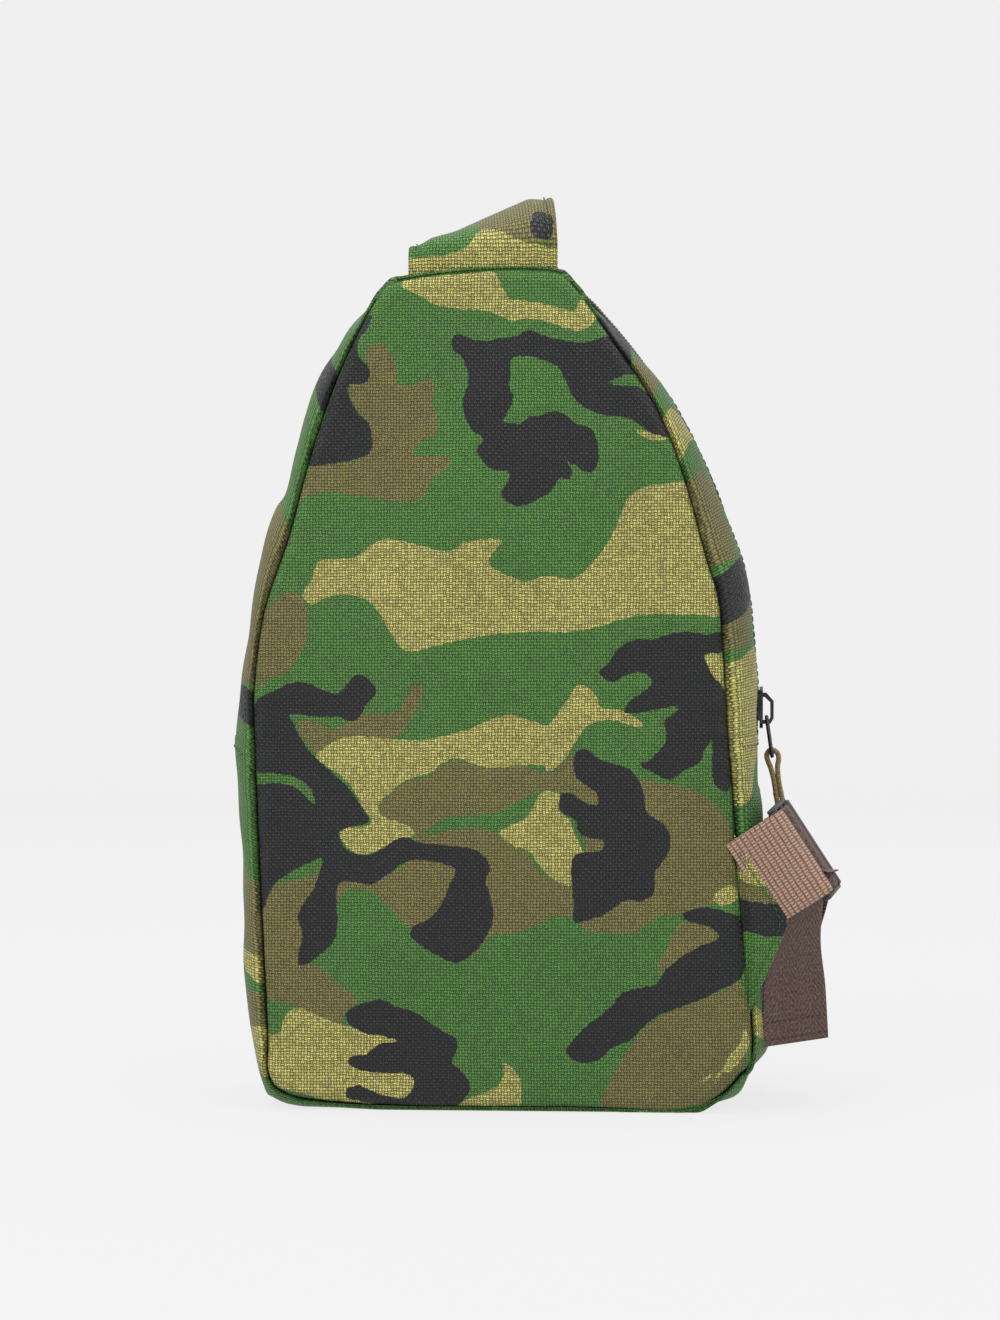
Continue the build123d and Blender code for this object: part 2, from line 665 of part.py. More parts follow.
# The webbing passes out between the second and third bars, over the second bar and back in.
with BuildPart() as lock_webbing_wrap:
    with BuildSketch(lock_section(WEBBING_W / 2)):
        with BuildLine():
            wrap = FilletPolyline(
                (LOCK_L + 4, 3.6),
                (16.6, 3.6),
                (16.2, -3.0),
                (6.8, -3.0),
                (6.2, 4.4),
                (9.4, 6.2),
                radius=1.3,
            )
        trace(wrap, line_width=WEBBING_T)
    extrude(amount=WEBBING_W)
lock_webbing_wrap.part.label = "lock_webbing_wrap"
export_step(lock_webbing_wrap.part, "parts/lock_webbing_wrap.step")

# The webbing's free end hangs below the lock.
TAIL_STATIONS = [
    ((119.6, -26.0, 82), (0.66, 0.75, 0), 1.0),
    ((120.0, -25.0, 52), (0.66, 0.75, 0), 1.0),
    ((120.5, -25.0, 29), (0.68, 0.73, 0), 1.0),
]
with BuildPart() as webbing_tail:
    add(ribbon(TAIL_STATIONS, WEBBING_W, WEBBING_T))
webbing_tail.part.label = "webbing_tail"
export_step(webbing_tail.part, "parts/webbing_tail.step")
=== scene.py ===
"""Sling bag: printed oxford cloth over the CAD frame, with its padded strap, webbing and zips."""
import math

import bmesh
import bpy
import numpy as np
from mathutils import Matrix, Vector


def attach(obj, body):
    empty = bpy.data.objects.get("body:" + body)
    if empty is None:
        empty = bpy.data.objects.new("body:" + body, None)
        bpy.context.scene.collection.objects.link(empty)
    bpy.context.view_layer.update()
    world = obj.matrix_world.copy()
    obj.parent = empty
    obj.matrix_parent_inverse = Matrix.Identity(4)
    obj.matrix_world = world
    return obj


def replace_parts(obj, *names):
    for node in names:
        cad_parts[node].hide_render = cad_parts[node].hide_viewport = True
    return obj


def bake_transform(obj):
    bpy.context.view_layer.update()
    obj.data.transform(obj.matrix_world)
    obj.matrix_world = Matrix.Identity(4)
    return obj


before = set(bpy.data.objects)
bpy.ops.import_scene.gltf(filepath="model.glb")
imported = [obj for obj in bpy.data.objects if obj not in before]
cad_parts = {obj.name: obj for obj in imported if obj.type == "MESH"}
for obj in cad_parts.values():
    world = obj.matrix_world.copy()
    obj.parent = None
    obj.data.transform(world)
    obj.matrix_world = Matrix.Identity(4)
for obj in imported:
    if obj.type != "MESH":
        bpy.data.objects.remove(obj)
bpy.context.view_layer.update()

bl_info = {
    "name": "Sling bag",
    "version": (1, 0, 0),
    "blender": (4, 5, 0),
    "location": "3D View > Sidebar > Sling bag",
    "description": "Builds a printed sling bag with its strap, webbing and zips",
    "category": "Add Mesh",
}

MM = 0.001
SEAM_Y = 44.0  # depth of the panel seams either side of the middle
MIDDLE_Z = 165.0  # height of a panel's middle
BEAD_SIDES = 6
BINDING = 1.9  # radius of the binding rolled over each inner seam
CLOTH = 1.3  # thickness of the gusset's doubled cloth
STRAP_HALF = 30.5
WEBBING_HALF, WEBBING_THICK = 19.0, 1.5
TAB_Y = -44.8  # the side tab lies just behind the back panel's seam
COIL_APART = 2.05  # each coil's centre from the middle of its zip
COIL_TURN = (1.15, 3.9, 2.1)  # length, width and height of one turn


def linear(code):
    """An sRGB hex value as linear RGBA."""
    parts = [int(code[i : i + 2], 16) / 255 for i in (1, 3, 5)]
    return tuple(c / 12.92 if c <= 0.04045 else ((c + 0.055) / 1.055) ** 2.4 for c in parts) + (1.0,)


# ---------------------------------------------------------------- the bag's lines and print, given in mm: x, z

# back panel seam down the left side
SEAM_LEFT = [
    (-46.4, 329.2), (-57.8, 308.8), (-67, 287.2), (-76.2, 259.6), (-83.8, 231.2), (-94, 200.8), (-98, 172.8),
    (-98.2, 153), (-95.6, 89.6), (-92.8, 30.8), (-92.8, 14.8), (-87.2, 6.8), (-71.7, 3.2)
]

# back panel seam down the right side
SEAM_RIGHT = [
    (31.4, 330.2), (44.8, 310.8), (59.9, 288.6), (68.6, 271.2), (75.7, 250.8), (83.6, 221.6), (88.8, 203.2),
    (91.2, 170), (92.5, 148), (95.2, 111.2), (98, 76.8), (102.2, 25.6), (96.6, 14.4), (88.2, 6), (74.2, 0.4)
]

SEAM_TOP = [(23.2, 336.2), (-3.7, 337.0), (-38.1, 333.6)]

# the widest line of the bag, down the left side
RIM_LEFT_FLAT = [
    (-37.2, 334), (-46.4, 329.3), (-57.8, 317.2), (-64, 307), (-69.3, 298), (-77, 280), (-80, 268), (-84.6, 249),
    (-88.4, 242), (-94.6, 223), (-98, 205), (-102.8, 172.8), (-104.6, 149), (-102.6, 111), (-101, 57), (-99.2, 36),
    (-95.6, 8.8), (-93, 4), (-80, 0)
]
LEFT_FULLNESS = 3.2
RIM_LEFT = [  # the side swells when the bag is filled: fully over its middle, easing off at the base and the top
    (round(x - LEFT_FULLNESS * min(1, max(0, (z - 6) / 25)) * min(1, max(0.25, (345 - z) / 50)), 1), z)
    for x, z in RIM_LEFT_FLAT
]

# the widest line of the bag, down the right side
RIM_RIGHT = [
    (25.2, 337.2), (31.4, 330.2), (40, 322), (56, 304.5), (70.2, 284.7), (84.4, 257.8), (94.7, 231.7), (99.9, 215),
    (103.6, 179), (104.4, 164.5), (104.4, 131.4), (105.8, 118.6), (107.8, 36.8), (107.8, 24.4), (100.8, 15.8),
    (96.6, 6.6), (88.2, 3.2), (68.4, 0)
]

RIM_TOP = [(10, 338.2), (-12, 338.0)]

# brown ink
BROWN = [
    [
        (-50, 307), (-46, 307), (-42, 303), (-40, 298), (-40, 291), (-33, 291), (-27, 293), (-24, 289), (-26, 284),
        (-23, 278), (-24, 271), (-30, 268), (-34, 263), (-28, 262), (-20, 262), (-18, 259), (-22, 256), (-27, 252),
        (-28, 247), (-33, 244), (-45, 245), (-58, 247), (-70, 248), (-77, 246), (-81, 243), (-76, 256), (-72, 259),
        (-60, 260), (-53, 262), (-50, 268), (-52, 275), (-58, 284), (-59, 290), (-51, 297), (-53, 303)
    ],
    [
        (-93, 200), (-88, 206), (-82, 208), (-78, 205), (-76, 200), (-76, 190), (-79, 183), (-84, 176), (-90, 174),
        (-96, 170), (-97, 180), (-97, 190), (-95, 196)
    ],
    [
        (-80, 153), (-79, 156), (-72, 156), (-67, 153), (-63, 154), (-58, 157), (-50, 160), (-44, 159), (-38, 162),
        (-35, 168), (-32, 171), (-29, 168), (-31, 163), (-34, 157), (-38, 152), (-44, 149), (-60, 149), (-70, 143),
        (-76, 147)
    ],
    [
        (-47, 122), (-43, 127), (-36, 132), (-28, 134), (-22, 138), (-16, 141), (-8, 139), (8, 139), (22, 136),
        (31, 143), (46, 137), (60, 133), (76, 130), (83, 127), (89, 121), (93, 114), (95, 92), (88, 85), (80, 82),
        (74, 80), (66, 79), (60, 76), (56, 72), (48, 72), (38, 73), (34, 76), (36, 90), (34, 120), (24, 129),
        (16, 128), (8, 124), (0, 120), (-10, 119), (-20, 118), (-28, 113), (-36, 111), (-45, 118)
    ],
    [
        (-32, 110), (-22, 112), (-12, 114), (-2, 113), (3, 110), (8, 106), (13, 104), (16, 98), (22, 94), (29, 91),
        (31, 86), (30, 79), (24, 79), (16, 75), (8, 72), (-2, 71), (-6, 66), (-12, 62), (-20, 64), (-30, 70),
        (-36, 75), (-42, 81), (-48, 87), (-52, 90), (-46, 94), (-34, 101), (-38, 106)
    ],
    [
        (-95, 82), (-91, 89), (-85, 92), (-78, 93), (-72, 95), (-70, 90), (-76, 80), (-76, 70), (-78, 60), (-72, 58),
        (-66, 53), (-60, 48), (-55, 44), (-60, 41), (-62, 36), (-58, 33), (-64, 34), (-72, 37), (-80, 41), (-86, 43),
        (-94, 46), (-94.5, 60)
    ],
    [(-66, 88), (-64, 92), (-58, 93), (-52, 91), (-50, 88), (-54, 89), (-60, 89), (-64, 84)],
    [(73, 76), (80, 76), (86, 74), (89, 70), (84, 67), (76, 63), (70, 59), (64, 55), (66, 62), (69, 68), (71, 73)],
    [
        (42, 2), (44, 10), (48, 18), (53, 26), (58, 33), (64, 38), (72, 42), (82, 46), (90, 49), (97, 53), (100, 45),
        (102, 33), (100, 24), (97, 17), (90, 8), (80, 3), (60, 1)
    ]
]

# sand ink, over the brown
SAND = [
    [
        (-39, 331), (-30, 335), (-15, 337), (-4, 338), (0, 334), (3, 328), (5, 325), (12, 324), (22, 322), (31, 320),
        (33, 324), (36, 325), (39.5, 318), (37, 314), (33, 312), (28, 313), (20, 316), (12, 317), (6, 316), (2, 318),
        (-4, 320), (-15, 321), (-25, 323), (-32, 327)
    ],
    [(55, 273), (60, 272), (69, 270), (64, 268), (58, 270)],
    [
        (-78, 207), (-74, 213), (-72, 220), (-66, 221), (-56, 222), (-50, 227), (-44, 229), (-36, 228), (-28, 226),
        (-20, 224), (-15, 226), (-12, 228), (2, 229), (0, 225), (-3, 220), (0, 217), (6, 214), (12, 212), (18, 214),
        (24, 214), (30, 213), (36, 217), (42, 224), (47, 232), (50, 240), (53, 246), (60, 250), (68, 251), (76, 251),
        (82, 235), (86, 220), (90, 200), (80, 199), (60, 199), (50, 197), (40, 194), (28, 192), (10, 192), (-8, 190),
        (-22, 187), (-34, 184), (-39, 187), (-43, 193), (-47, 200), (-52, 205), (-60, 207), (-68, 206), (-74, 203)
    ],
    [
        (-73, 142), (-60, 150), (-38, 149), (-28, 149), (-12, 153), (4, 159), (16, 156), (21, 155), (27, 163),
        (33, 171), (39, 168), (42, 162), (50, 161), (58, 156), (57, 154), (50, 156), (44, 157), (37, 155), (32, 149),
        (28, 142), (21, 136), (19, 139), (10, 139), (0, 138), (-8, 139), (-16, 142), (-22, 139), (-28, 135),
        (-36, 133), (-42, 128), (-47, 123), (-45, 118), (-38, 116), (-32, 112), (-37, 109), (-43, 107), (-49, 104),
        (-55, 103), (-60, 106), (-63, 111), (-60, 114), (-54, 114), (-50, 116), (-54, 123), (-58, 130), (-63, 135),
        (-68, 138)
    ],
    [
        (1, 112), (6, 115), (12, 118), (15, 123), (18, 128), (23, 128.5), (26, 126), (25, 121), (29, 118), (31, 113),
        (33, 108), (35, 105), (32, 101), (30, 98), (30, 91), (24, 93), (19, 97), (16, 101), (13, 105), (7, 107)
    ],
    [
        (-85, 38), (-80, 41), (-72, 38), (-64, 35), (-56, 33), (-46, 31), (-39, 29), (-36, 24), (-33, 18), (-33, 12),
        (-36, 6), (-42, 3), (-55, 2), (-68, 3), (-76, 6), (-84, 8), (-90, 9), (-93, 13), (-93, 30), (-90, 30),
        (-87, 32)
    ],
    [(83, 183), (90, 183), (92, 168), (86, 175)],
    [(2, 20), (5, 19), (9, 14), (10, 8), (9, 2), (4, 0), (-6, 1), (-15, 2), (-12, 5), (-4, 8), (1, 11), (3, 15)],
    [(99, 34), (97, 28), (92, 22), (90, 17), (84, 15), (76, 10), (82, 13), (90, 15), (96, 20), (101, 28)],
    [(86, 86), (90, 90), (95, 91), (96, 86), (90, 83)]
]

# black ink, over the sand
BLACK = [
    [
        (-50, 319), (-52, 313), (-56, 308), (-55, 302), (-51, 297), (-52, 292), (-60, 290), (-56, 280), (-51, 275),
        (-50, 265), (-54, 262), (-62, 260), (-76, 259), (-73, 268), (-68, 282), (-64, 293), (-58, 307), (-53, 318)
    ],
    [
        (-18, 309), (-15, 311), (-10, 309), (-5, 308), (0, 309), (8, 310), (13, 312.5), (19, 310), (28, 308),
        (36, 307.5), (46, 310), (52, 303), (57, 296), (50, 294), (44, 291), (50, 290), (58, 289), (66, 279),
        (70, 270), (62, 271), (55, 276), (47, 278), (40, 279), (32, 284), (28, 291), (25, 297), (20, 300), (12, 302),
        (6, 301), (6, 295), (5, 290), (7, 286), (5, 280), (3, 276), (10, 275), (13, 278), (17, 278), (22, 280),
        (27, 279), (32, 275), (38, 273), (40, 268), (41, 262), (39, 256), (35, 256), (31, 259), (27, 262), (30, 257),
        (30, 253), (25, 253), (22, 248), (17, 245), (10, 242), (4, 244), (2, 248), (5, 252), (5, 256), (-2, 257),
        (-6, 261), (-8, 265), (-5, 269), (-10, 273), (-13, 280), (-13, 287), (-11, 291), (-13, 301), (-17, 304)
    ],
    [
        (41, 176), (45, 180), (48, 185), (55, 189), (62, 189), (68, 191), (76, 192), (84, 191), (91, 192), (90, 184),
        (83, 183), (86, 175), (91, 168), (93, 148), (93, 130), (88, 130), (86, 136), (86, 149), (83, 145), (81, 140),
        (75, 137), (69, 133), (63, 136), (57, 139), (61, 141), (66, 146), (68, 150), (67, 156), (71, 160), (73, 163),
        (68, 162), (58, 160), (51, 160), (54, 165), (61, 170), (62, 173), (58, 176), (52, 175), (46, 172)
    ],
    [
        (-98, 162), (-90, 168), (-84, 171), (-78, 172), (-70, 169), (-64, 167), (-60, 171), (-56, 175), (-51, 173),
        (-48, 168), (-52, 163), (-55, 158), (-58, 156), (-64, 158), (-74, 158), (-83, 159), (-81, 154), (-78, 148),
        (-73, 142), (-64, 134), (-58, 128), (-54, 122), (-51, 116), (-62, 113), (-63, 110), (-60, 105), (-54, 103),
        (-48, 104), (-38, 110), (-30, 108), (-20, 107), (-10, 106), (-5, 103), (-2, 98), (-4, 93), (-2, 86), (-1, 78),
        (-4, 70), (-9, 64), (-15, 60), (-22, 62), (-30, 67), (-35, 72), (-32, 75), (-26, 78), (-22, 83), (-19, 90),
        (-16, 97), (-22, 100), (-34, 101), (-42, 96), (-50, 91), (-58, 92), (-64, 90), (-64, 72), (-68, 65),
        (-78, 58), (-80, 62), (-78, 70), (-80, 78), (-77, 84), (-73, 90), (-70, 101), (-76, 99), (-84, 95), (-90, 90),
        (-95, 80), (-97, 95), (-98, 127), (-93, 131), (-86, 131), (-80, 129), (-73.5, 123), (-74, 128), (-78, 132),
        (-84, 134.5), (-91, 135.5), (-98, 138)
    ],
    [
        (31, 141), (33, 145), (37, 145), (42, 141), (52, 138), (56, 134), (59, 128), (60, 120), (65, 117), (69, 112),
        (69, 105), (66, 100), (63, 96), (63, 88), (58, 85), (52, 85), (47, 82), (42, 79), (35, 77), (31, 76),
        (31, 84), (30, 100), (34, 104), (42, 105), (43, 109), (38, 110), (33, 112), (32, 117), (28, 119), (25, 122),
        (26, 127), (30, 128), (34, 125), (38, 123), (41, 124), (40, 128), (36, 131), (32, 134)
    ],
    [
        (-61, 38), (-57, 42), (-47, 45), (-40, 42), (-33, 40), (-27, 36), (-21, 32), (-16, 29), (-16, 24), (-18, 20),
        (-14, 16), (-11, 12), (-11, 8), (-15, 3), (-22, 0), (-40, 1), (-52, 3), (-60, 5), (-60, 9), (-55, 10),
        (-48, 7), (-40, 5), (-36, 6), (-33, 11), (-36, 15), (-44, 15), (-54, 16), (-60, 19), (-58, 22), (-52, 23),
        (-47, 27), (-39, 28), (-44, 30), (-52, 31), (-58, 34)
    ],
    [
        (29, 27), (28, 24), (31, 21), (37, 20), (42, 22), (46, 26), (53, 29), (58, 34), (64, 39), (72, 42), (80, 45),
        (88, 49), (96, 53), (99, 58), (99, 70), (92, 70), (84, 68), (76, 64), (68, 58), (64, 52), (56, 50), (50, 48),
        (46, 43), (40, 38), (34, 33)
    ],
    [(73, 78), (79, 82), (86, 82), (93, 80), (99, 77), (99, 66), (93, 68), (89, 71), (86, 74), (80, 76)]
]


# ---------------------------------------------------------------- lines and cloth maths, in mm


def smooth(points, steps=8, closed=False):
    """A curve through given points, as many small runs."""
    p = np.array(points, float)
    n = len(p)
    out = []
    for i in range(n if closed else n - 1):
        a, b, c, d = (p[j % n] if closed else p[min(max(j, 0), n - 1)] for j in (i - 1, i, i + 1, i + 2))
        for t in np.arange(steps) / steps:
            out.append(
                0.5 * (2 * b + (c - a) * t + (2 * a - 5 * b + 4 * c - d) * t**2 + (3 * b - a - 3 * c + d) * t**3)
            )
    if not closed:
        out.append(p[-1])
    return np.array(out)


def by_length(line, count):
    """The line again, as count points spaced evenly along it."""
    line = np.asarray(line, float)
    run = np.r_[0, np.cumsum(np.linalg.norm(np.diff(line, axis=0), axis=1))]
    want = np.linspace(0, run[-1], count)
    return np.stack([np.interp(want, run, line[:, k]) for k in range(line.shape[1])], 1)


def outline(left, right, base_z, top_mid):
    """A closed line round the bag: from the middle of the base up the right side, over the top, down the left."""
    base_right, base_left = (right[-1], left[-1])
    keys = [(0, base_z)] + [
        (base_right[0] * 0.5, base_z)
    ] + right[::-1] + top_mid + left + [(base_left[0] * 0.5, base_z)]
    line = smooth(keys, 10, closed=True)
    line[:, 1] = np.maximum(line[:, 1], 0.0)
    at = [
        0, 10 * 2, 10 * (1 + len(right)), 10 * (2 + len(right) + len(top_mid)),
        10 * (1 + len(right) + len(top_mid) + len(left)), len(line)
    ]
    line = np.vstack([line, line[:1]])
    parts = []
    for (a, b), count in zip(zip(at[:-1], at[1:]), SECTIONS):
        parts.append(by_length(line[a : b + 1], count + 1)[:-1])
    return np.vstack(parts)


SECTIONS = (36, 190, 40, 190, 36)  # base, right side, top, left side, base
COUNT = sum(SECTIONS)
SEAM = outline(SEAM_LEFT, SEAM_RIGHT, 1.2, SEAM_TOP)
RIM = outline(RIM_LEFT, RIM_RIGHT, 0.0, RIM_TOP)


def inside_by(points, shapes):
    """How far each point lies inside the nearest of the shapes, in mm, less than 0 outside."""
    best = np.full(len(points), -99.0)
    for shape in shapes:
        poly = smooth(shape, 4, closed=True)
        a, b = poly, np.roll(poly, -1, axis=0)
        lo, hi = poly.min(0) - 8, poly.max(0) + 8
        near = np.where(((points > lo) & (points < hi)).all(1))[0]
        if not len(near):
            continue
        p = points[near]
        d2 = np.full(len(p), 1e9)
        odd = np.zeros(len(p), bool)
        for (ax, ay), (bx, by) in zip(a, b):
            ex, ey = bx - ax, by - ay
            t = np.clip(((p[:, 0] - ax) * ex + (p[:, 1] - ay) * ey) / max(ex * ex + ey * ey, 1e-9), 0, 1)
            d2 = np.minimum(d2, (p[:, 0] - ax - t * ex) ** 2 + (p[:, 1] - ay - t * ey) ** 2)
            if ay != by:
                odd ^= ((ay > p[:, 1]) != (by > p[:, 1])) & (p[:, 0] < ax + (p[:, 1] - ay) / (by - ay) * ex)
        best[near] = np.maximum(best[near], np.where(odd, 1, -1) * np.sqrt(d2))
    return np.clip(best, -6, 6)


def print_cloth(mesh, cloth):
    """Stores how deep each vertex lies in the brown, sand and black inks. cloth is its place on the bolt, in mm."""
    cloth = np.asarray(cloth, float)
    for ink, shapes in (("ink_brown", BROWN), ("ink_sand", SAND), ("ink_black", BLACK)):
        layer = mesh.attributes.new(ink, "FLOAT", "POINT")
        layer.data.foreach_set("value", inside_by(cloth, shapes).astype(np.float32))


def make_mesh(name, verts, faces, uv=None, cloth=None):
    """A mesh object from points in mm. uv is each vertex's place on the cloth in mm, kept in metres."""
    mesh = bpy.data.meshes.new(name)
    mesh.from_pydata([tuple(v) for v in np.asarray(verts, float) * MM], [], faces)
    if uv is not None:
        layer = mesh.uv_layers.new(name="UVMap")
        at = np.empty(len(mesh.loops), np.int64)
        mesh.loops.foreach_get("vertex_index", at)
        layer.data.foreach_set("uv", (np.asarray(uv, float)[at] * MM).astype(np.float32).ravel())
    if cloth is not None:
        print_cloth(mesh, cloth)
    mesh.shade_smooth()
    obj = bpy.data.objects.new(name, mesh)
    bpy.context.scene.collection.objects.link(obj)
    return obj


def grid_faces(rows, cols, wrap=False, flip=False):
    """Quads between rows of points; wrap joins the last column to the first."""
    out = []
    for i in range(rows - 1):
        for j in range(cols if wrap else cols - 1):
            k = (j + 1) % cols
            q = (i * cols + j, i * cols + k, (i + 1) * cols + k, (i + 1) * cols + j)
            out.append(q[::-1] if flip else q)
    return out


def face_out(obj):
    """Merges doubles and turns every face outwards."""
    bm = bmesh.new()
    bm.from_mesh(obj.data)
    bmesh.ops.remove_doubles(bm, verts=bm.verts, dist=2e-5)
    bmesh.ops.recalc_face_normals(bm, faces=bm.faces)
    bm.to_mesh(obj.data)
    bm.free()
    obj.data.shade_smooth()


def apply_modifiers(obj):
    """The evaluated shape as the piece's own plain mesh."""
    graph = bpy.context.evaluated_depsgraph_get()
    graph.update()
    done = bpy.data.meshes.new_from_object(obj.evaluated_get(graph), preserve_all_data_layers=True, depsgraph=graph)
    obj.modifiers.clear()
    obj.data = done
    return obj


def thicken(obj, thickness, offset=-1.0):
    """Gives a sheet its thickness, inwards from its faces unless offset says otherwise."""
    mod = obj.modifiers.new("thickness", "SOLIDIFY")
    mod.thickness, mod.offset, mod.use_even_offset = thickness * MM, offset, False
    apply_modifiers(obj)
    for v in obj.data.vertices:  # nothing reaches under the flat base
        v.co.z = max(v.co.z, 0.0)
    return obj


def paint(obj, material):
    obj.data.materials.clear()
    obj.data.materials.append(material)
    return obj


def unit(v):
    v = np.asarray(v, float)
    return v / np.maximum(np.linalg.norm(v, axis=-1, keepdims=True), 1e-9)


# ---------------------------------------------------------------- node trees


def put(tree, kind, inputs=None, **settings):
    """Adds one node with its settings; an input is given a value, or a socket to link from."""
    node = tree.nodes.new(kind)
    for key, value in settings.items():
        setattr(node, key, value)
    for key, value in (inputs or {}).items():
        if isinstance(value, bpy.types.NodeSocket):
            tree.links.new(value, node.inputs[key])
        else:
            node.inputs[key].default_value = value
    return node


def new_material(name):
    """An empty node material and its tree."""
    material = bpy.data.materials.get(name)
    if material:
        bpy.data.materials.remove(material)
    material = bpy.data.materials.new(name)
    material.use_nodes = True
    material.node_tree.nodes.clear()
    return material, material.node_tree


def close_material(tree, colour, bump=None, normal_strength=0.5, bump_distance=0.0003, **shader):
    """Principled shader, bump and output at the end of a tree."""
    inputs = {"Base Color": colour}
    inputs.update({key.replace("_", " "): value for key, value in shader.items()})
    if bump is not None:
        inputs["Normal"] = put(
            tree, "ShaderNodeBump", {"Strength": normal_strength, "Distance": bump_distance, "Height": bump}
        ).outputs["Normal"]
    bsdf = put(tree, "ShaderNodeBsdfPrincipled", inputs)
    put(tree, "ShaderNodeOutputMaterial", {"Surface": bsdf.outputs["BSDF"]})


def weave(tree, pitch_u, pitch_v):
    """Over-and-under threads on the UV map: the cloth's height, and a random number for each thread crossing."""
    uv = put(tree, "ShaderNodeUVMap", uv_map="UVMap").outputs["UV"]
    cells = put(
        tree, "ShaderNodeVectorMath", {0: uv, 1: (1000 / pitch_u, 1000 / pitch_v, 0)}, operation="MULTIPLY"
    ).outputs[0]
    wobble = put(tree, "ShaderNodeTexNoise", {"Vector": cells, "Scale": 0.13, "Detail": 2.0})
    cells = put(
        tree, "ShaderNodeVectorMath", {0: wobble.outputs["Color"], 1: (0.9, 0.9, 0.0), 2: cells},
        operation="MULTIPLY_ADD"
    ).outputs[0]
    split = put(tree, "ShaderNodeSeparateXYZ", {0: cells})
    heights = []
    for axis in ("X", "Y"):
        turn = put(tree, "ShaderNodeMath", {0: split.outputs[axis], 1: math.pi}, operation="MULTIPLY").outputs[0]
        wave = put(tree, "ShaderNodeMath", {0: turn}, operation="SINE").outputs[0]
        heights.append(put(tree, "ShaderNodeMath", {0: wave}, operation="ABSOLUTE").outputs[0])
    over = put(
        tree, "ShaderNodeTexChecker", {"Vector": cells, "Color1": (1, 1, 1, 1), "Color2": (0, 0, 0, 1), "Scale": 1.0}
    )
    height = put(tree, "ShaderNodeMix", {"Factor": over.outputs["Fac"], "A": heights[0], "B": heights[1]}).outputs[0]
    floor = put(tree, "ShaderNodeVectorMath", {0: cells}, operation="FLOOR").outputs[0]
    chance = put(tree, "ShaderNodeTexWhiteNoise", {"Vector": floor}, noise_dimensions="3D").outputs["Value"]
    return height, chance


# ---------------------------------------------------------------- what a user would change


class SlingBagSizes(bpy.types.PropertyGroup):
    crown: bpy.props.FloatProperty(
        name="Back crown", description="How far the padded back panel stands out of its seam", default=7.0 * MM,
        unit="LENGTH"
    )
    front_crown: bpy.props.FloatProperty(
        name="Front crown", description="How far the front panel stands out each side of the pocket zip",
        default=6.0 * MM, unit="LENGTH"
    )
    weave_pitch: bpy.props.FloatProperty(
        name="Weave pitch", description="Spacing of the oxford cloth's threads", default=1.2 * MM, unit="LENGTH"
    )
    stitch_spacing: bpy.props.FloatProperty(
        name="Stitch spacing", description="Spacing of the topstitching", default=3.2 * MM, unit="LENGTH"
    )
    stitch_length: bpy.props.FloatProperty(
        name="Stitch length", description="Length of each stitch that shows", default=2.5 * MM, unit="LENGTH"
    )
    thread: bpy.props.FloatProperty(
        name="Thread", description="Thickness of the sewing thread", default=0.5 * MM, unit="LENGTH"
    )
    coil_pitch: bpy.props.FloatProperty(
        name="Coil pitch", description="Spacing of the zip coil's turns", default=1.5 * MM, unit="LENGTH"
    )


def colour_property(name, text, code):
    return bpy.props.FloatVectorProperty(
        name=name, description=text, subtype="COLOR", size=4, min=0, max=1, default=linear(code)
    )


class SlingBagColours(bpy.types.PropertyGroup):
    green: colour_property("Green", "The cloth's ground colour", "#3C6727")
    brown: colour_property("Brown", "The brown ink", "#625C30")
    sand: colour_property("Sand", "The sand ink", "#817C3E")
    straw: colour_property("Straw", "The lightest threads in the sand ink", "#A9A35C")
    black: colour_property("Black", "The near-black ink", "#131416")
    tan: colour_property("Tan webbing", "The webbing loop on the side tab", "#9C7C68")
    umber: colour_property("Brown webbing", "The webbing that adjusts the strap", "#40281F")
    olive: colour_property("Pull tape", "The woven tape on the zip pulls", "#86714A")
    tape: colour_property("Zip tape", "The zips' woven tape", "#23231F")
    coil: colour_property("Zip coil", "The zips' nylon coil", "#1D1D1B")
    metal: colour_property("Gunmetal", "The plating on sliders and links", "#3B3A3C")
    lock: colour_property("Ladder lock", "The moulded buckle", "#2A2623")
    lining: colour_property("Lining", "The lining and seam binding", "#2B2F27")
    paper: colour_property("Backdrop", "The studio paper", "#EDEDED")


# ---------------------------------------------------------------- materials


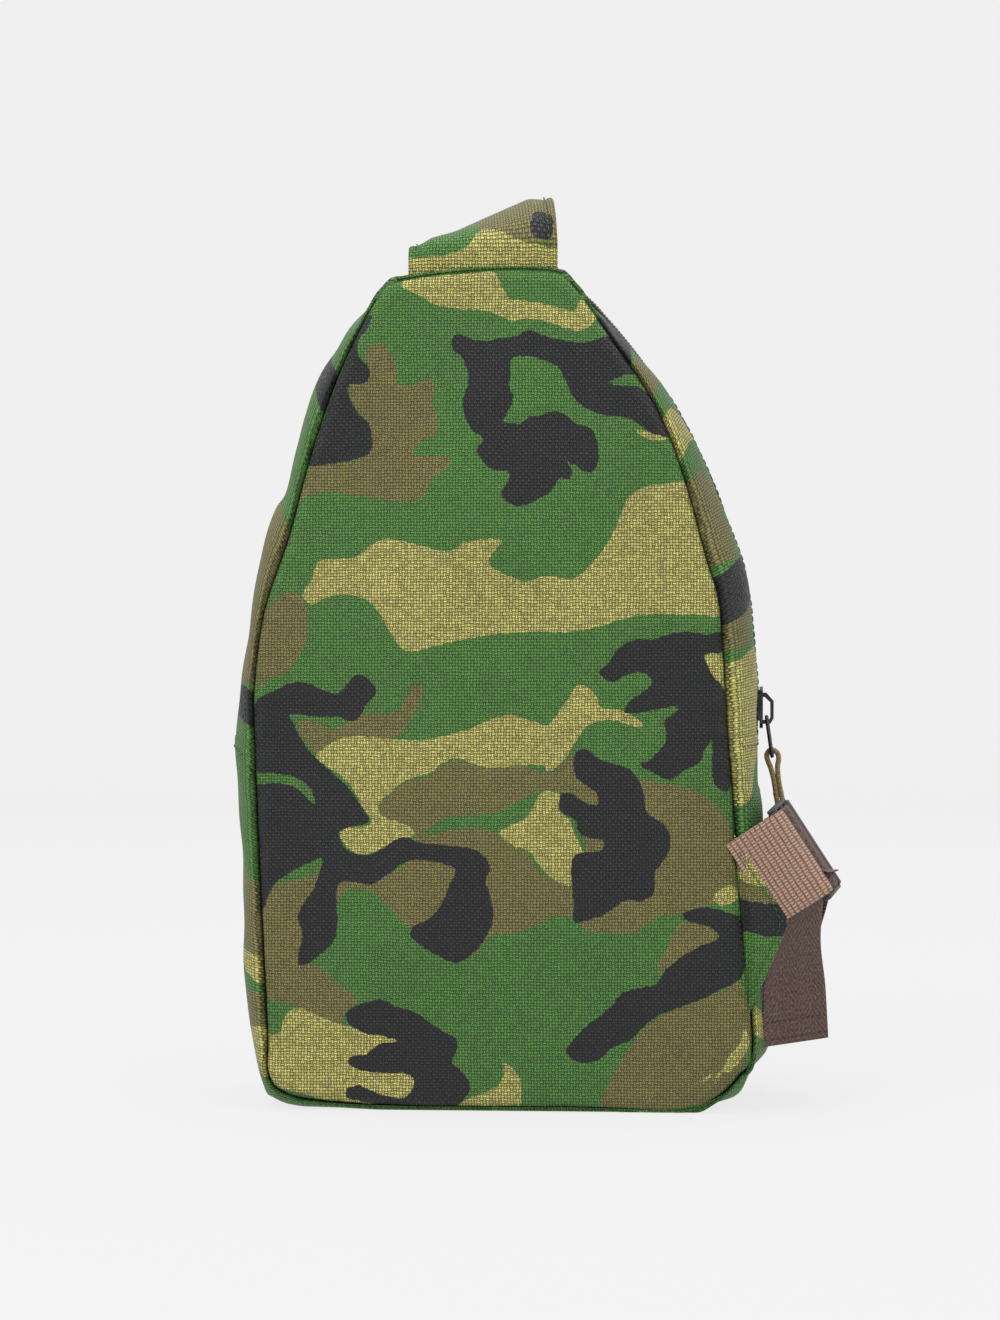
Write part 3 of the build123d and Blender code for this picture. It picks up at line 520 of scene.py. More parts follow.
def printed_oxford(c, s):
    """600D polyester oxford, woven and printed: pebbled and matt, its crossings catch the light, with painted light
    and shade by the threads' height and crisp ink edges.
    """
    material, tree = new_material("printed_oxford")
    pitch = s.weave_pitch / MM
    height, chance = weave(tree, pitch, pitch)
    uv = put(tree, "ShaderNodeUVMap", uv_map="UVMap").outputs["UV"]
    creep = put(tree, "ShaderNodeTexNoise", {"Vector": uv, "Scale": 420.0, "Detail": 2.0}).outputs["Fac"]
    creep = put(
        tree, "ShaderNodeMapRange",
        {"Value": creep, "From Min": 0.3, "From Max": 0.7, "To Min": -0.35, "To Max": 0.35}
    ).outputs["Result"]
    slow = put(tree, "ShaderNodeTexNoise", {"Vector": uv, "Scale": 26.0, "Detail": 3.0}).outputs["Fac"]
    # straw threads in the sand ink: random per crossing, and more on the raised thread tops as a painted highlight
    straw = put(
        tree, "ShaderNodeMath",
        {
            0: put(tree, "ShaderNodeMapRange", {"Value": chance, "To Min": 0.25, "To Max": 0.6}).outputs["Result"],
            1: put(
                tree, "ShaderNodeMapRange", {"Value": height, "From Min": 0.3, "To Min": 0.2, "To Max": 1.2}
            ).outputs["Result"]
        },
        operation="MULTIPLY"
    ).outputs[0]
    sand = put(tree, "ShaderNodeMix", {0: straw, 6: tuple(c.sand), 7: tuple(c.straw)}, data_type="RGBA").outputs[2]
    colour = tuple(c.green)
    for ink, value in (("ink_brown", tuple(c.brown)), ("ink_sand", sand), ("ink_black", tuple(c.black))):
        depth = put(tree, "ShaderNodeAttribute", attribute_name=ink).outputs["Fac"]
        depth = put(tree, "ShaderNodeMath", {0: depth, 1: creep}, operation="ADD").outputs[0]
        colour = put(
            tree, "ShaderNodeMix",
            {
                0: put(
                    tree, "ShaderNodeMapRange", {"Value": depth, "From Min": -0.12, "From Max": 0.12}
                ).outputs["Result"],
                6: colour, 7: value
            },
            data_type="RGBA"
        ).outputs[2]
    # painted light and shade: raised threads lighter and the gaps between them darker by the weave's height, times
    # random tone per crossing and in slow patches
    shade = put(tree, "ShaderNodeMapRange", {"Value": height, "To Min": 0.1, "To Max": 1.42}).outputs["Result"]
    shade = put(
        tree, "ShaderNodeMath",
        {
            0: shade,
            1: put(tree, "ShaderNodeMapRange", {"Value": chance, "To Min": 0.8, "To Max": 1.2}).outputs["Result"]
        },
        operation="MULTIPLY"
    ).outputs[0]
    shade = put(
        tree, "ShaderNodeMath",
        {
            0: shade,
            1: put(
                tree, "ShaderNodeMapRange",
                {"Value": slow, "From Min": 0.3, "From Max": 0.7, "To Min": 0.93, "To Max": 1.07}
            ).outputs["Result"]
        },
        operation="MULTIPLY"
    ).outputs[0]
    colour = put(
        tree, "ShaderNodeMix",
        {0: 1.0, 6: colour, 7: put(tree, "ShaderNodeCombineXYZ", {0: shade, 1: shade, 2: shade}).outputs[0]},
        data_type="RGBA", blend_type="MULTIPLY"
    ).outputs[2]
    rough = put(tree, "ShaderNodeMapRange", {"Value": chance, "To Min": 0.42, "To Max": 0.72}).outputs["Result"]
    close_material(
        tree, colour, height, 0.9, 0.0008, Roughness=rough, Specular_IOR_Level=0.38, Sheen_Weight=0.04,
        Sheen_Roughness=0.5
    )
    return material


def ribbed_webbing(name, colour, strand, rib, rough, light):
    """Woven polypropylene webbing: fat ribs in rows, split into strands that shine a little, with painted shade
    between rows and strands.
    """
    material, tree = new_material(name)
    uv = put(tree, "ShaderNodeUVMap", uv_map="UVMap").outputs["UV"]
    wander = put(tree, "ShaderNodeTexNoise", {"Vector": uv, "Scale": 160.0, "Detail": 2.0}).outputs["Color"]
    place = put(
        tree, "ShaderNodeVectorMath", {0: wander, 1: (0.0007, 0.0009, 0.0), 2: uv}, operation="MULTIPLY_ADD"
    ).outputs[0]
    split = put(tree, "ShaderNodeSeparateXYZ", {0: place})
    waves = []
    for axis, pitch in (("X", strand), ("Y", rib)):
        turn = put(
            tree, "ShaderNodeMath", {0: split.outputs[axis], 1: math.pi * 1000 / pitch}, operation="MULTIPLY"
        ).outputs[0]
        wave = put(tree, "ShaderNodeMath", {0: turn}, operation="SINE").outputs[0]
        waves.append(put(tree, "ShaderNodeMath", {0: wave}, operation="ABSOLUTE").outputs[0])
    rows = put(tree, "ShaderNodeMapRange", {"Value": waves[1], "From Max": 0.7}).outputs["Result"]
    strands = put(tree, "ShaderNodeMapRange", {"Value": waves[0], "From Max": 0.8, "To Min": 0.2}).outputs["Result"]
    height = put(tree, "ShaderNodeMath", {0: rows, 1: strands}, operation="MULTIPLY").outputs[0]
    fibre = put(tree, "ShaderNodeTexNoise", {"Vector": uv, "Scale": 1300.0, "Detail": 3.0}).outputs["Fac"]
    # painted shade: the colour darkens to about a fifth in the grooves between ribs and strands, by the weave's height
    groove_shade = tuple(v * 0.22 for v in colour[:3]) + (1.0,)
    pale = tuple(min(1, v * light) for v in colour[:3]) + (1.0,)
    tone = put(tree, "ShaderNodeMix", {0: height, 6: groove_shade, 7: tuple(colour)}, data_type="RGBA").outputs[2]
    tone = put(
        tree, "ShaderNodeMix",
        {
            0: put(
                tree, "ShaderNodeMapRange", {"Value": fibre, "From Min": 0.5, "From Max": 0.75, "To Max": 0.8}
            ).outputs["Result"],
            6: tone, 7: pale
        },
        data_type="RGBA"
    ).outputs[2]
    close_material(tree, tone, height, 0.8, 0.0008, Roughness=rough, Specular_IOR_Level=0.4, Sheen_Weight=0.1)
    return material


def twill_webbing(c):
    """Polypropylene twill webbing: herringbone ribs aslant from the band's middle, with a soft shine and painted light
    and shade on its ribs.
    """
    material, tree = new_material("brown_twill_webbing")
    uv = put(tree, "ShaderNodeUVMap", uv_map="UVMap").outputs["UV"]
    split = put(tree, "ShaderNodeSeparateXYZ", {0: uv})
    fold = put(tree, "ShaderNodeMath", {0: split.outputs["X"], 1: 0.0095}, operation="PINGPONG").outputs[0]
    lean = put(tree, "ShaderNodeMath", {0: fold, 1: 1.1, 2: split.outputs["Y"]}, operation="MULTIPLY_ADD").outputs[0]
    phase = put(tree, "ShaderNodeMath", {0: lean, 1: 2 * math.pi / 0.0026}, operation="MULTIPLY").outputs[0]
    rib = put(tree, "ShaderNodeMath", {0: phase}, operation="SINE").outputs[0]
    across = put(
        tree, "ShaderNodeMath", {0: split.outputs["X"], 1: 2 * math.pi / 0.0012}, operation="MULTIPLY"
    ).outputs[0]
    cross = put(tree, "ShaderNodeMath", {0: across}, operation="SINE").outputs[0]
    height = put(tree, "ShaderNodeMath", {0: cross, 1: 0.35, 2: rib}, operation="MULTIPLY_ADD").outputs[0]
    height = put(tree, "ShaderNodeMapRange", {"Value": height, "From Min": -1.35, "From Max": 1.35}).outputs["Result"]
    fibre = put(tree, "ShaderNodeTexNoise", {"Vector": uv, "Scale": 900.0, "Detail": 3.0}).outputs["Fac"]
    # painted light and shade: rib tops lighter and grooves darker than the webbing's brown, by the ribs' height; then
    # random tan fibres
    tone = put(
        tree, "ShaderNodeMix",
        {
            0: height, 6: tuple(v * 0.3 for v in c.umber[:3]) + (1.0,),
            7: tuple(min(1, v * 1.35) for v in c.umber[:3]) + (1.0,)
        },
        data_type="RGBA"
    ).outputs[2]
    tone = put(
        tree, "ShaderNodeMix",
        {
            0: put(
                tree, "ShaderNodeMapRange", {"Value": fibre, "From Min": 0.45, "From Max": 0.75, "To Max": 0.35}
            ).outputs["Result"],
            6: tone, 7: tuple(c.tan)
        },
        data_type="RGBA"
    ).outputs[2]
    close_material(tree, tone, height, 0.6, 0.0005, Roughness=0.5, Specular_IOR_Level=0.4)
    return material


def woven_tape(name, colour, pitch):
    """Narrow polyester tape: fine flat weave, matt, with slight fuzz."""
    material, tree = new_material(name)
    height = weave(tree, pitch, pitch * 1.3)[0]
    # painted light and shade: thread tops lighter and the gaps darker than the tape's colour, by the weave's height
    tone = put(
        tree, "ShaderNodeMix",
        {
            0: height, 6: tuple(v * 0.5 for v in colour[:3]) + (1.0,),
            7: tuple(min(1, v * 1.2) for v in colour[:3]) + (1.0,)
        },
        data_type="RGBA"
    ).outputs[2]
    close_material(tree, tone, height, 0.5, 0.0003, Roughness=0.75, Sheen_Weight=0.15, Specular_IOR_Level=0.3)
    return material


def solid_finish(name, colour, rough, grain_mm, bump, lightness, **shader):
    """Even material with a fine surface grain of a real size, on Object coordinates."""
    material, tree = new_material(name)
    place = put(tree, "ShaderNodeTexCoord").outputs["Object"]
    grain = put(tree, "ShaderNodeTexNoise", {"Vector": place, "Scale": 1000 / grain_mm, "Detail": 4.0}).outputs["Fac"]
    wear = put(tree, "ShaderNodeTexNoise", {"Vector": place, "Scale": 90.0, "Detail": 3.0}).outputs["Fac"]
    tone = put(
        tree, "ShaderNodeMix",
        {
            0: put(tree, "ShaderNodeMapRange", {"Value": wear, "From Min": 0.35, "From Max": 0.7}).outputs["Result"],
            6: tuple(v * 0.8 for v in colour[:3]) + (1.0,),
            7: tuple(min(1, v * lightness) for v in colour[:3]) + (1.0,)
        },
        data_type="RGBA"
    ).outputs[2]
    close_material(
        tree, tone, grain, bump, 0.0002,
        Roughness=put(
            tree, "ShaderNodeMapRange",
            {"Value": wear, "From Min": 0.3, "From Max": 0.7, "To Min": rough * 0.85, "To Max": min(1, rough * 1.2)}
        ).outputs["Result"],
        **shader
    )
    return material


# ---------------------------------------------------------------- stitches and coil teeth in Geometry Nodes


def repeat_tree(name, sides):
    """Lays one rounded bead at each step along its lines, turned along the line and lying on the cloth."""
    tree = bpy.data.node_groups.new(name, "GeometryNodeTree")
    face = tree.interface
    face.new_socket("Geometry", in_out="OUTPUT", socket_type="NodeSocketGeometry")
    face.new_socket("Geometry", in_out="INPUT", socket_type="NodeSocketGeometry")
    for socket, kind in (
        ("Spacing", "Float"), ("Length", "Float"), ("Width", "Float"), ("Height", "Float"), ("Material", "Material")
    ):
        face.new_socket(socket, in_out="INPUT", socket_type="NodeSocket" + kind)
    given = put(tree, "NodeGroupInput").outputs
    curve = put(tree, "GeometryNodeMeshToCurve", {"Mesh": given["Geometry"]}).outputs["Curve"]
    curve = put(
        tree, "GeometryNodeResampleCurve", {"Curve": curve, "Length": given["Spacing"]}, mode="LENGTH"
    ).outputs["Curve"]
    bead = put(tree, "GeometryNodeMeshUVSphere", {"Segments": sides, "Rings": 5, "Radius": 0.5}).outputs["Mesh"]
    tangent = put(tree, "GeometryNodeInputTangent").outputs["Tangent"]
    facing = put(
        tree, "GeometryNodeInputNamedAttribute", {"Name": "facing"}, data_type="FLOAT_VECTOR"
    ).outputs["Attribute"]
    turn = put(tree, "FunctionNodeAlignRotationToVector", {"Vector": tangent}, axis="X").outputs["Rotation"]
    turn = put(
        tree, "FunctionNodeAlignRotationToVector", {"Rotation": turn, "Vector": facing}, axis="Z", pivot_axis="X"
    ).outputs["Rotation"]
    size = put(tree, "ShaderNodeCombineXYZ", {0: given["Length"], 1: given["Width"], 2: given["Height"]}).outputs[0]
    laid = put(
        tree, "GeometryNodeInstanceOnPoints", {"Points": curve, "Instance": bead, "Rotation": turn, "Scale": size}
    ).outputs["Instances"]
    real = put(tree, "GeometryNodeRealizeInstances", {"Geometry": laid}).outputs["Geometry"]
    real = put(tree, "GeometryNodeSetShadeSmooth", {0: real}).outputs[0]
    last = put(tree, "GeometryNodeSetMaterial", {"Geometry": real, "Material": given["Material"]}).outputs["Geometry"]
    put(tree, "NodeGroupOutput", {"Geometry": last})
    return tree


def lay_beads(name, tree, lines, spacing, size, material):
    """A mesh of beads along lines, each a pair of points and outward directions in mm."""
    verts, edges, facing = [], [], []
    for points, out in lines:
        points = np.asarray(points, float)
        out = np.broadcast_to(np.asarray(out, float), points.shape)
        start = len(verts)
        verts += [tuple(p * MM) for p in points]
        facing += [tuple(v) for v in unit(out)]
        edges += [(start + i, start + i + 1) for i in range(len(points) - 1)]
    mesh = bpy.data.meshes.new(name)
    mesh.from_pydata(verts, edges, [])
    mesh.attributes.new("facing", "FLOAT_VECTOR", "POINT").data.foreach_set(
        "vector", np.array(facing, np.float32).ravel()
    )
    obj = bpy.data.objects.new(name, mesh)
    bpy.context.scene.collection.objects.link(obj)
    mod = obj.modifiers.new("beads", "NODES")
    mod.node_group = tree
    sockets = {item.name: item.identifier for item in tree.interface.items_tree if item.in_out == "INPUT"}
    for key, value in (
        ("Spacing", spacing), ("Length", size[0] * MM), ("Width", size[1] * MM), ("Height", size[2] * MM),
        ("Material", material)
    ):
        mod[sockets[key]] = value
    apply_modifiers(obj)
    return obj


class Kit:
    """What the operators share: the materials and the node trees."""

    def __init__(self, scene):
        c, s = scene.sling_bag_colours, scene.sling_bag_sizes
        self.c, self.s = c, s
        self.cloth = printed_oxford(c, s)
        self.tan = ribbed_webbing("tan_ribbed_webbing", c.tan, 1.3, 2.3, 0.5, 1.45)
        self.twill = twill_webbing(c)
        self.tape = woven_tape("zip_tape", c.tape, 0.7)
        self.pull = woven_tape("olive_pull_tape", c.olive, 0.8)
        # sewing thread: twisted polyester, slight shine on each stitch
        self.thread = solid_finish("stitch_thread", linear("#2F4A26"), 0.55, 0.3, 0.3, 1.3, Specular_IOR_Level=0.4)
        self.dark_thread = solid_finish("dark_thread", linear("#2A2B26"), 0.55, 0.3, 0.3, 1.3, Specular_IOR_Level=0.4)
        # nylon coil: moulded monofilament, smooth and semi-gloss
        self.coil = solid_finish("nylon_coil", c.coil, 0.32, 0.8, 0.1, 1.2, Specular_IOR_Level=0.5)
        # die-cast zinc, gunmetal plated: dark metal, soft reflections, faint casting grain
        self.metal = solid_finish("gunmetal_plated_zinc", c.metal, 0.3, 0.35, 0.12, 1.5, Metallic=1.0)
        # acetal buckle: moulded, fine spark-eroded texture, low gloss
        self.lock = solid_finish("acetal_buckle", c.lock, 0.45, 0.25, 0.25, 1.2, Specular_IOR_Level=0.5)
        # taffeta lining: thin coated polyester, matt and dark
        self.lining = solid_finish("taffeta_lining", c.lining, 0.7, 0.4, 0.4, 1.3, Specular_IOR_Level=0.3)
        self.stitches = repeat_tree("stitches", BEAD_SIDES)
        self.teeth = repeat_tree("coil_teeth", BEAD_SIDES)

    def stitch(self, name, lines, thread=None):
        s = self.s
        return lay_beads(
            name, self.stitches, lines, s.stitch_spacing, (s.stitch_length / MM, s.thread / MM, s.thread / MM),
            thread or self.thread
        )


KIT = {}


def kit():
    if "it" not in KIT:
        raise RuntimeError("run the materials operator first")
    return KIT["it"]


# ---------------------------------------------------------------- shapes the pieces share


def turn_from(obj, centre):
    """Faces of an open sheet point away from a place inside the bag, in mm."""
    mesh = obj.data
    out = sum(p.normal.dot(p.center - Vector([v * MM for v in centre])) * p.area for p in mesh.polygons)
    if out < 0:
        mesh.flip_normals()


def line_frames(stations, count, tight=12):
    """Centres, width directions, outward directions and run along a given band."""
    rows = smooth([(*c, *a) for c, a in stations], tight)
    run = np.r_[0, np.cumsum(np.linalg.norm(np.diff(rows[:, :3], axis=0), axis=1))]
    want = np.linspace(0, run[-1], count)
    rows = np.stack([np.interp(want, run, rows[:, k]) for k in range(6)], 1)
    centre = rows[:, :3]
    along = unit(np.gradient(centre, axis=0))
    across = rows[:, 3:]
    across = unit(across - along * (across * along).sum(1, keepdims=True))
    return centre, across, np.cross(across, along), want


def loft(name, rings, uv, cloth=None):
    """A closed skin through rings of points, with its two ends filled."""
    n, m = rings.shape[:2]
    verts = np.vstack([rings.reshape(-1, 3), rings[0].mean(0), rings[-1].mean(0)])
    flat = np.vstack([uv.reshape(-1, 2), uv[0].mean(0), uv[-1].mean(0)])
    faces = grid_faces(n, m, wrap=True)
    faces += [(n * m, (j + 1) % m, j) for j in range(m)]
    faces += [(n * m + 1, (n - 1) * m + j, (n - 1) * m + (j + 1) % m) for j in range(m)]
    obj = make_mesh(name, verts, faces, flat, None if cloth is None else cloth(flat))
    face_out(obj)
    return obj


def band(name, frames, half, upper, lower, steps=24, cloth=None):
    """A flat or padded band along frames, half its width at each. upper and lower give the height of its two faces
    for a share across and a run along."""
    centre, across, out, run = frames
    half = np.broadcast_to(np.asarray(half, float), run.shape)
    share = np.sin(np.linspace(-1, 1, steps + 1) * math.pi / 2)
    share = np.where(np.abs(share) > 0.999, np.sign(share), share)
    rows = []
    flat = []
    for face, order in ((upper, share), (lower, share[1:-1][::-1])):
        height = np.array([[face(t, l) for t in order] for l in run])
        s = half[:, None] * order[None, :]
        rows.append(centre[:, None] + across[:, None] * s[..., None] + out[:, None] * height[..., None])
        flat.append(np.stack([s, np.broadcast_to(run[:, None], s.shape)], -1))
    return loft(name, np.concatenate(rows, 1), np.concatenate(flat, 1), cloth)


def webbing(name, frames, half, thickness, steps=16):
    """Flat webbing with rounded edges."""
    h = thickness / 2

    def face(t, l):
        return h * (1 - abs(t) ** 14) ** 0.5

    return band(name, frames, half, face, lambda t, l: -face(t, l), steps)


def local_path(origin, along, out, across, points):
    """Band stations from given (along, out) points in a plane square to across."""
    origin, along, out = (np.asarray(v, float) for v in (origin, along, out))
    return [(tuple(origin + along * a + out * b), tuple(across)) for a, b in points]


def smooth_share(v):
    v = np.clip(v, 0, 1)
    return v * v * (3 - 2 * v)


def seam_distance(points):
    """Distance from each (x, z) point to the panel seam, in mm."""
    best = np.full(len(points), 1e9)
    for a in SEAM:
        best = np.minimum(best, (points[:, 0] - a[0]) ** 2 + (points[:, 1] - a[1]) ** 2)
    return np.sqrt(best)


RINGS = 72
MIDDLE = np.array([0.0, MIDDLE_Z])


def panel_grid():
    """Rings of (x, z) points from the seam in to the middle of a panel, the first ring tucked into the seam."""
    shares = 1 - np.linspace(0, 1, RINGS) ** 1.12
    grid = MIDDLE + (SEAM[None] - MIDDLE) * shares[:, None, None]
    return grid[:-1].reshape(-1, 2)


def panel(name, face_of, cloth_of):
    """A panel of cloth inside the seam, face_of giving its depth for each point."""
    flat = np.vstack([panel_grid(), MIDDLE])
    depth = face_of(flat, seam_distance(flat))
    verts = np.stack([flat[:, 0], depth, flat[:, 1]], 1)
    faces = grid_faces(RINGS - 1, COUNT, wrap=True)
    last = (RINGS - 2) * COUNT
    faces += [(last + j, last + (j + 1) % COUNT, len(verts) - 1) for j in range(COUNT)]
    return make_mesh(name, verts, faces, flat, cloth_of(flat))


def rounded(d, radius):
    """Height of a rolled edge at distance d from it, from 0 to 1."""
    return np.sqrt(np.clip(1 - (1 - np.clip(d / radius, 0, 1)) ** 2, 0, 1))


def soft_waves(x, z, phase=0.0):
    """Slow unevenness of padded cloth, about 1 mm either way."""
    return (
        np.sin(x * 0.043 + z * 0.021 + phase) + 0.7 * np.sin(z * 0.057 - x * 0.018 + 1.3 + phase) + 0.5
        * np.sin(x * 0.09 + 2.1) * np.sin(z * 0.07 + 0.4 + phase)
    ) / 2.2


def back_depth(flat, d):
    """The back panel: rolls out of its seam and crowns over its foam, puckered a little along the stitching."""
    crown = KIT["it"].s.crown / MM
    x, z = flat[:, 0], flat[:, 1]
    pucker = 0.5 * np.sin(np.arctan2(z - MIDDLE_Z, x) * 46 + 2.2 * np.sin(z * 0.05)) * np.exp(-d / 7) * rounded(d, 3)
    return -(
        SEAM_Y - 3.6 + 5.6 * rounded(d, 4.5) + (crown - 2.4) * smooth_share(d / 75) + soft_waves(x, z) * 0.9
        * smooth_share(d / 18) + pucker
    )


POCKET_X, POCKET_Z0, POCKET_Z1, POCKET_HALF = -42.0, 96.0, 252.0, 7.6


def zip_distance(flat):
    """Distance outside the pocket zip's window, less than 0 inside it."""
    return np.maximum(
        np.abs(flat[:, 0] - POCKET_X) - POCKET_HALF,
        np.abs(flat[:, 1] - (POCKET_Z0 + POCKET_Z1) / 2) - (POCKET_Z1 - POCKET_Z0) / 2
    )


def front_depth(flat, d):
    """The front panel: soft either side of the pocket zip, which lies in a valley."""
    crown = KIT["it"].s.front_crown / MM
    x, z = flat[:, 0], flat[:, 1]
    away = zip_distance(flat)
    valley = smooth_share((away - 4) / 34)
    body = SEAM_Y - 3.6 + 5.6 * rounded(d, 4.5) + valley * (
        crown * smooth_share(d / 60) + (soft_waves(x, z, 2.0) + 0.8 * np.sin(z * 0.11 + x * 0.03))
        * smooth_share(d / 20)
    )
    body += 0.4 * np.sin(np.arctan2(z - MIDDLE_Z, x) * 40) * np.exp(-d / 7) * rounded(d, 3)
    low = np.minimum(body, 46.2 - 0.2 * smooth_share(-away / 4))
    body = np.where(away < 6, low * (1 - smooth_share((away - 3) / 3)) + body * smooth_share((away - 3) / 3), body)
    return np.where(away < 0, 41.0 + (body - 41.0) * smooth_share(1 + away / 1.6), body)


def across_gusset(y):
    """How far out from the seam towards the widest line the gusset lies at a depth."""
    return np.sqrt(np.clip(1 - (np.clip(np.abs(y) - 24, 0, None) / 20.0) ** 2, 0, 1))


def rim_normal():
    step = np.roll(RIM, -1, axis=0) - np.roll(RIM, 1, axis=0)
    return unit(np.stack([step[:, 1], -step[:, 0]], 1))


RIM_OUT = rim_normal()
RIM_RUN = np.r_[0, np.cumsum(np.linalg.norm(np.diff(RIM, axis=0), axis=1))]


def index_at(z, right):
    low = SECTIONS[0]
    if right:
        part = range(low, low + SECTIONS[1])
    else:
        part = range(low + SECTIONS[1] + SECTIONS[2], COUNT - SECTIONS[4])
    return min(part, key=lambda k: abs(RIM[k][1] - z))


SPLIT_Z = 150.0
RIGHT_SPLIT = index_at(SPLIT_Z, True)
LEFT_SPLIT = index_at(SPLIT_Z, False)


def gusset_points(index, depths, proud=0.0):
    """Points of the gusset for places round the outline and depths, with the cloth's own soft folds."""
    index = np.asarray(index) % COUNT
    y = np.asarray(depths, float)
    share = across_gusset(y)
    flat = SEAM[index][:, None] + (RIM - SEAM)[index][:, None] * share[None, :, None]
    run = RIM_RUN[index][:, None]
    z = flat[..., 1]
    free = smooth_share((z - 14) / 40)
    fold = -0.8 * (
        0.5 - 0.5 * np.sin(run * 0.072 + y[None] * 0.03 + 0.6 * np.sin(run * 0.031))
    ) - 0.25 * (1 + np.sin(run * 0.21 + y[None] * 0.11))
    fold = fold * free * smooth_share((46 - np.abs(y)) / 10)[None]
    tuck = 0.6 * (1 - rounded(SEAM_Y - np.abs(y), 0.5))
    push = (fold - tuck[None] + proud)[..., None] * RIM_OUT[index][:, None]
    flat = flat + push
    flat[..., 1] = np.maximum(flat[..., 1], 0.0)
    depth = y + np.sign(y) * (0.1 - 3.6 * (1 - rounded(SEAM_Y - np.abs(y), 0.5))) * smooth_share((np.abs(y) - 30) / 12)
    return np.stack([flat[..., 0], np.broadcast_to(depth, flat.shape[:2]), flat[..., 1]], -1)


def gusset_uv(index, depths):
    """The gusset's place on the bolt: run round the bag, and distance across."""
    wrapped = np.asarray(index)
    run = np.where(wrapped < 0, RIM_RUN[wrapped % COUNT] - RIM_RUN[-1], RIM_RUN[wrapped % COUNT])
    y = np.asarray(depths, float)
    return np.stack([np.broadcast_to(run[:, None], (len(run), len(y))), np.broadcast_to(y, (len(run), len(y)))], -1)


def lobed(run0, run1, v, half, seed):
    """A blotch of ink on the gusset between two runs, with uneven lobes."""
    rng = np.random.default_rng(seed)
    turn = np.linspace(0, 2 * math.pi, 15)[:-1]
    swell = 1 + 0.22 * np.sin(turn * 3 + rng.uniform(0, 6)) + 0.12 * np.sin(turn * 5 + rng.uniform(0, 6))
    return [
        ((run0 + run1) / 2 + (run1 - run0) / 2 * swell[i] * math.cos(t), v + half * swell[i] * math.sin(t))
        for i, t in enumerate(turn)
    ]


def gusset_inks():
    """Ink blotches round the gusset: by height beside the back panel, then freely across it."""
    inks = {"brown": [], "sand": [], "black": []}
    for right, rows in ((False, LEFT_INKS), (True, RIGHT_INKS)):
        for n, (ink, z0, z1, v, half) in enumerate(rows):
            a, b = (RIM_RUN[index_at(z, right)] for z in (z0, z1))
            inks[ink].append(lobed(min(a, b), max(a, b), v, half, 10 * n + right))
            if not right and a > RIM_RUN[-1] * 0.75:
                inks[ink].append([(r - RIM_RUN[-1], w) for r, w in inks[ink][-1]])
    return inks["brown"], inks["sand"], inks["black"]


LEFT_INKS = [
    ("sand", 14, 34, -44, 20), ("brown", 32, 48, -46, 26), ("sand", 54, 66, -46, 16), ("brown", 64, 99, -44, 30),
    ("black", 158, 173, -46, 34), ("brown", 171, 206, -44, 22), ("brown", 204, 247, -50, 34),
    ("black", 292, 306, -46, 30), ("sand", 36, 80, 6, 16), ("black", 84, 120, 4, 14), ("brown", 20, 70, 34, 20),
    ("sand", 108, 150, 30, 15), ("black", 60, 90, 38, 12), ("sand", 190, 230, 26, 16), ("black", 226, 262, 18, 14),
    ("brown", 150, 190, 20, 14), ("sand", 262, 290, -20, 12), ("brown", 270, 300, 28, 16)
]
RIGHT_INKS = [
    ("sand", 24, 38, -46, 16), ("black", 66, 86, -46, 22), ("sand", 130, 191, -44, 26), ("brown", 189, 206, -46, 20),
    ("black", 202, 222, -46, 26), ("brown", 226, 259, -48, 22), ("sand", 267, 284, -46, 22),
    ("brown", 292, 304, -46, 20), ("black", 304, 323, -46, 26), ("brown", 30, 66, -6, 18), ("sand", 70, 112, 10, 16),
    ("black", 100, 128, -10, 12), ("black", 20, 52, 34, 16), ("brown", 86, 130, 38, 14), ("sand", 196, 226, 28, 15),
    ("black", 150, 184, 30, 14), ("brown", 236, 280, 24, 15), ("black", 270, 300, 30, 12)
]


def store_inks(obj, cloth, inks):
    """Ink depths on a piece whose print is its own, as three attributes."""
    for ink, shapes in zip(("ink_brown", "ink_sand", "ink_black"), inks):
        layer = obj.data.attributes.get(ink) or obj.data.attributes.new(ink, "FLOAT", "POINT")
        layer.data.foreach_set("value", inside_by(cloth, shapes).astype(np.float32))


def gusset_piece(name, index, depths, proud=0.0):
    points = gusset_points(index, depths, proud)
    uv = gusset_uv(index, depths)
    n, m = points.shape[:2]
    obj = make_mesh(name, points.reshape(-1, 3), grid_faces(n, m), uv.reshape(-1, 2))
    turn_from(obj, (0, 0, MIDDLE_Z))
    store_inks(obj, uv.reshape(-1, 2), gusset_inks())
    return paint(thicken(obj, CLOTH), kit().cloth)


def zip_line(inset):
    """The main zip's line round the arch at an inset from the bag's edge, from the right end to the left."""
    right, left = 242.7 - inset, 305.7 - inset
    points = [(105.5 - inset, 150.5)]
    points += [
        (-137.2 + right * math.cos(a), 160 + right * math.sin(a))
        for a in np.linspace(0.0, math.asin(168.5 / right), 17)
    ]
    points += [(25.5, 336.0 - inset), (14.0, 337 - inset), (-6.0, 337 - inset), (-33.0, 336.4 - inset)]
    points += [
        (201.7 - left * math.cos(a), 150 + left * math.sin(a)) for a in np.linspace(math.asin(170 / left), 0.002, 16)
    ]
    return smooth(points, 10)


def line_out(line):
    step = np.gradient(line, axis=0)
    return unit(np.stack([step[:, 1], -step[:, 0]], 1))


# ---------------------------------------------------------------- operators


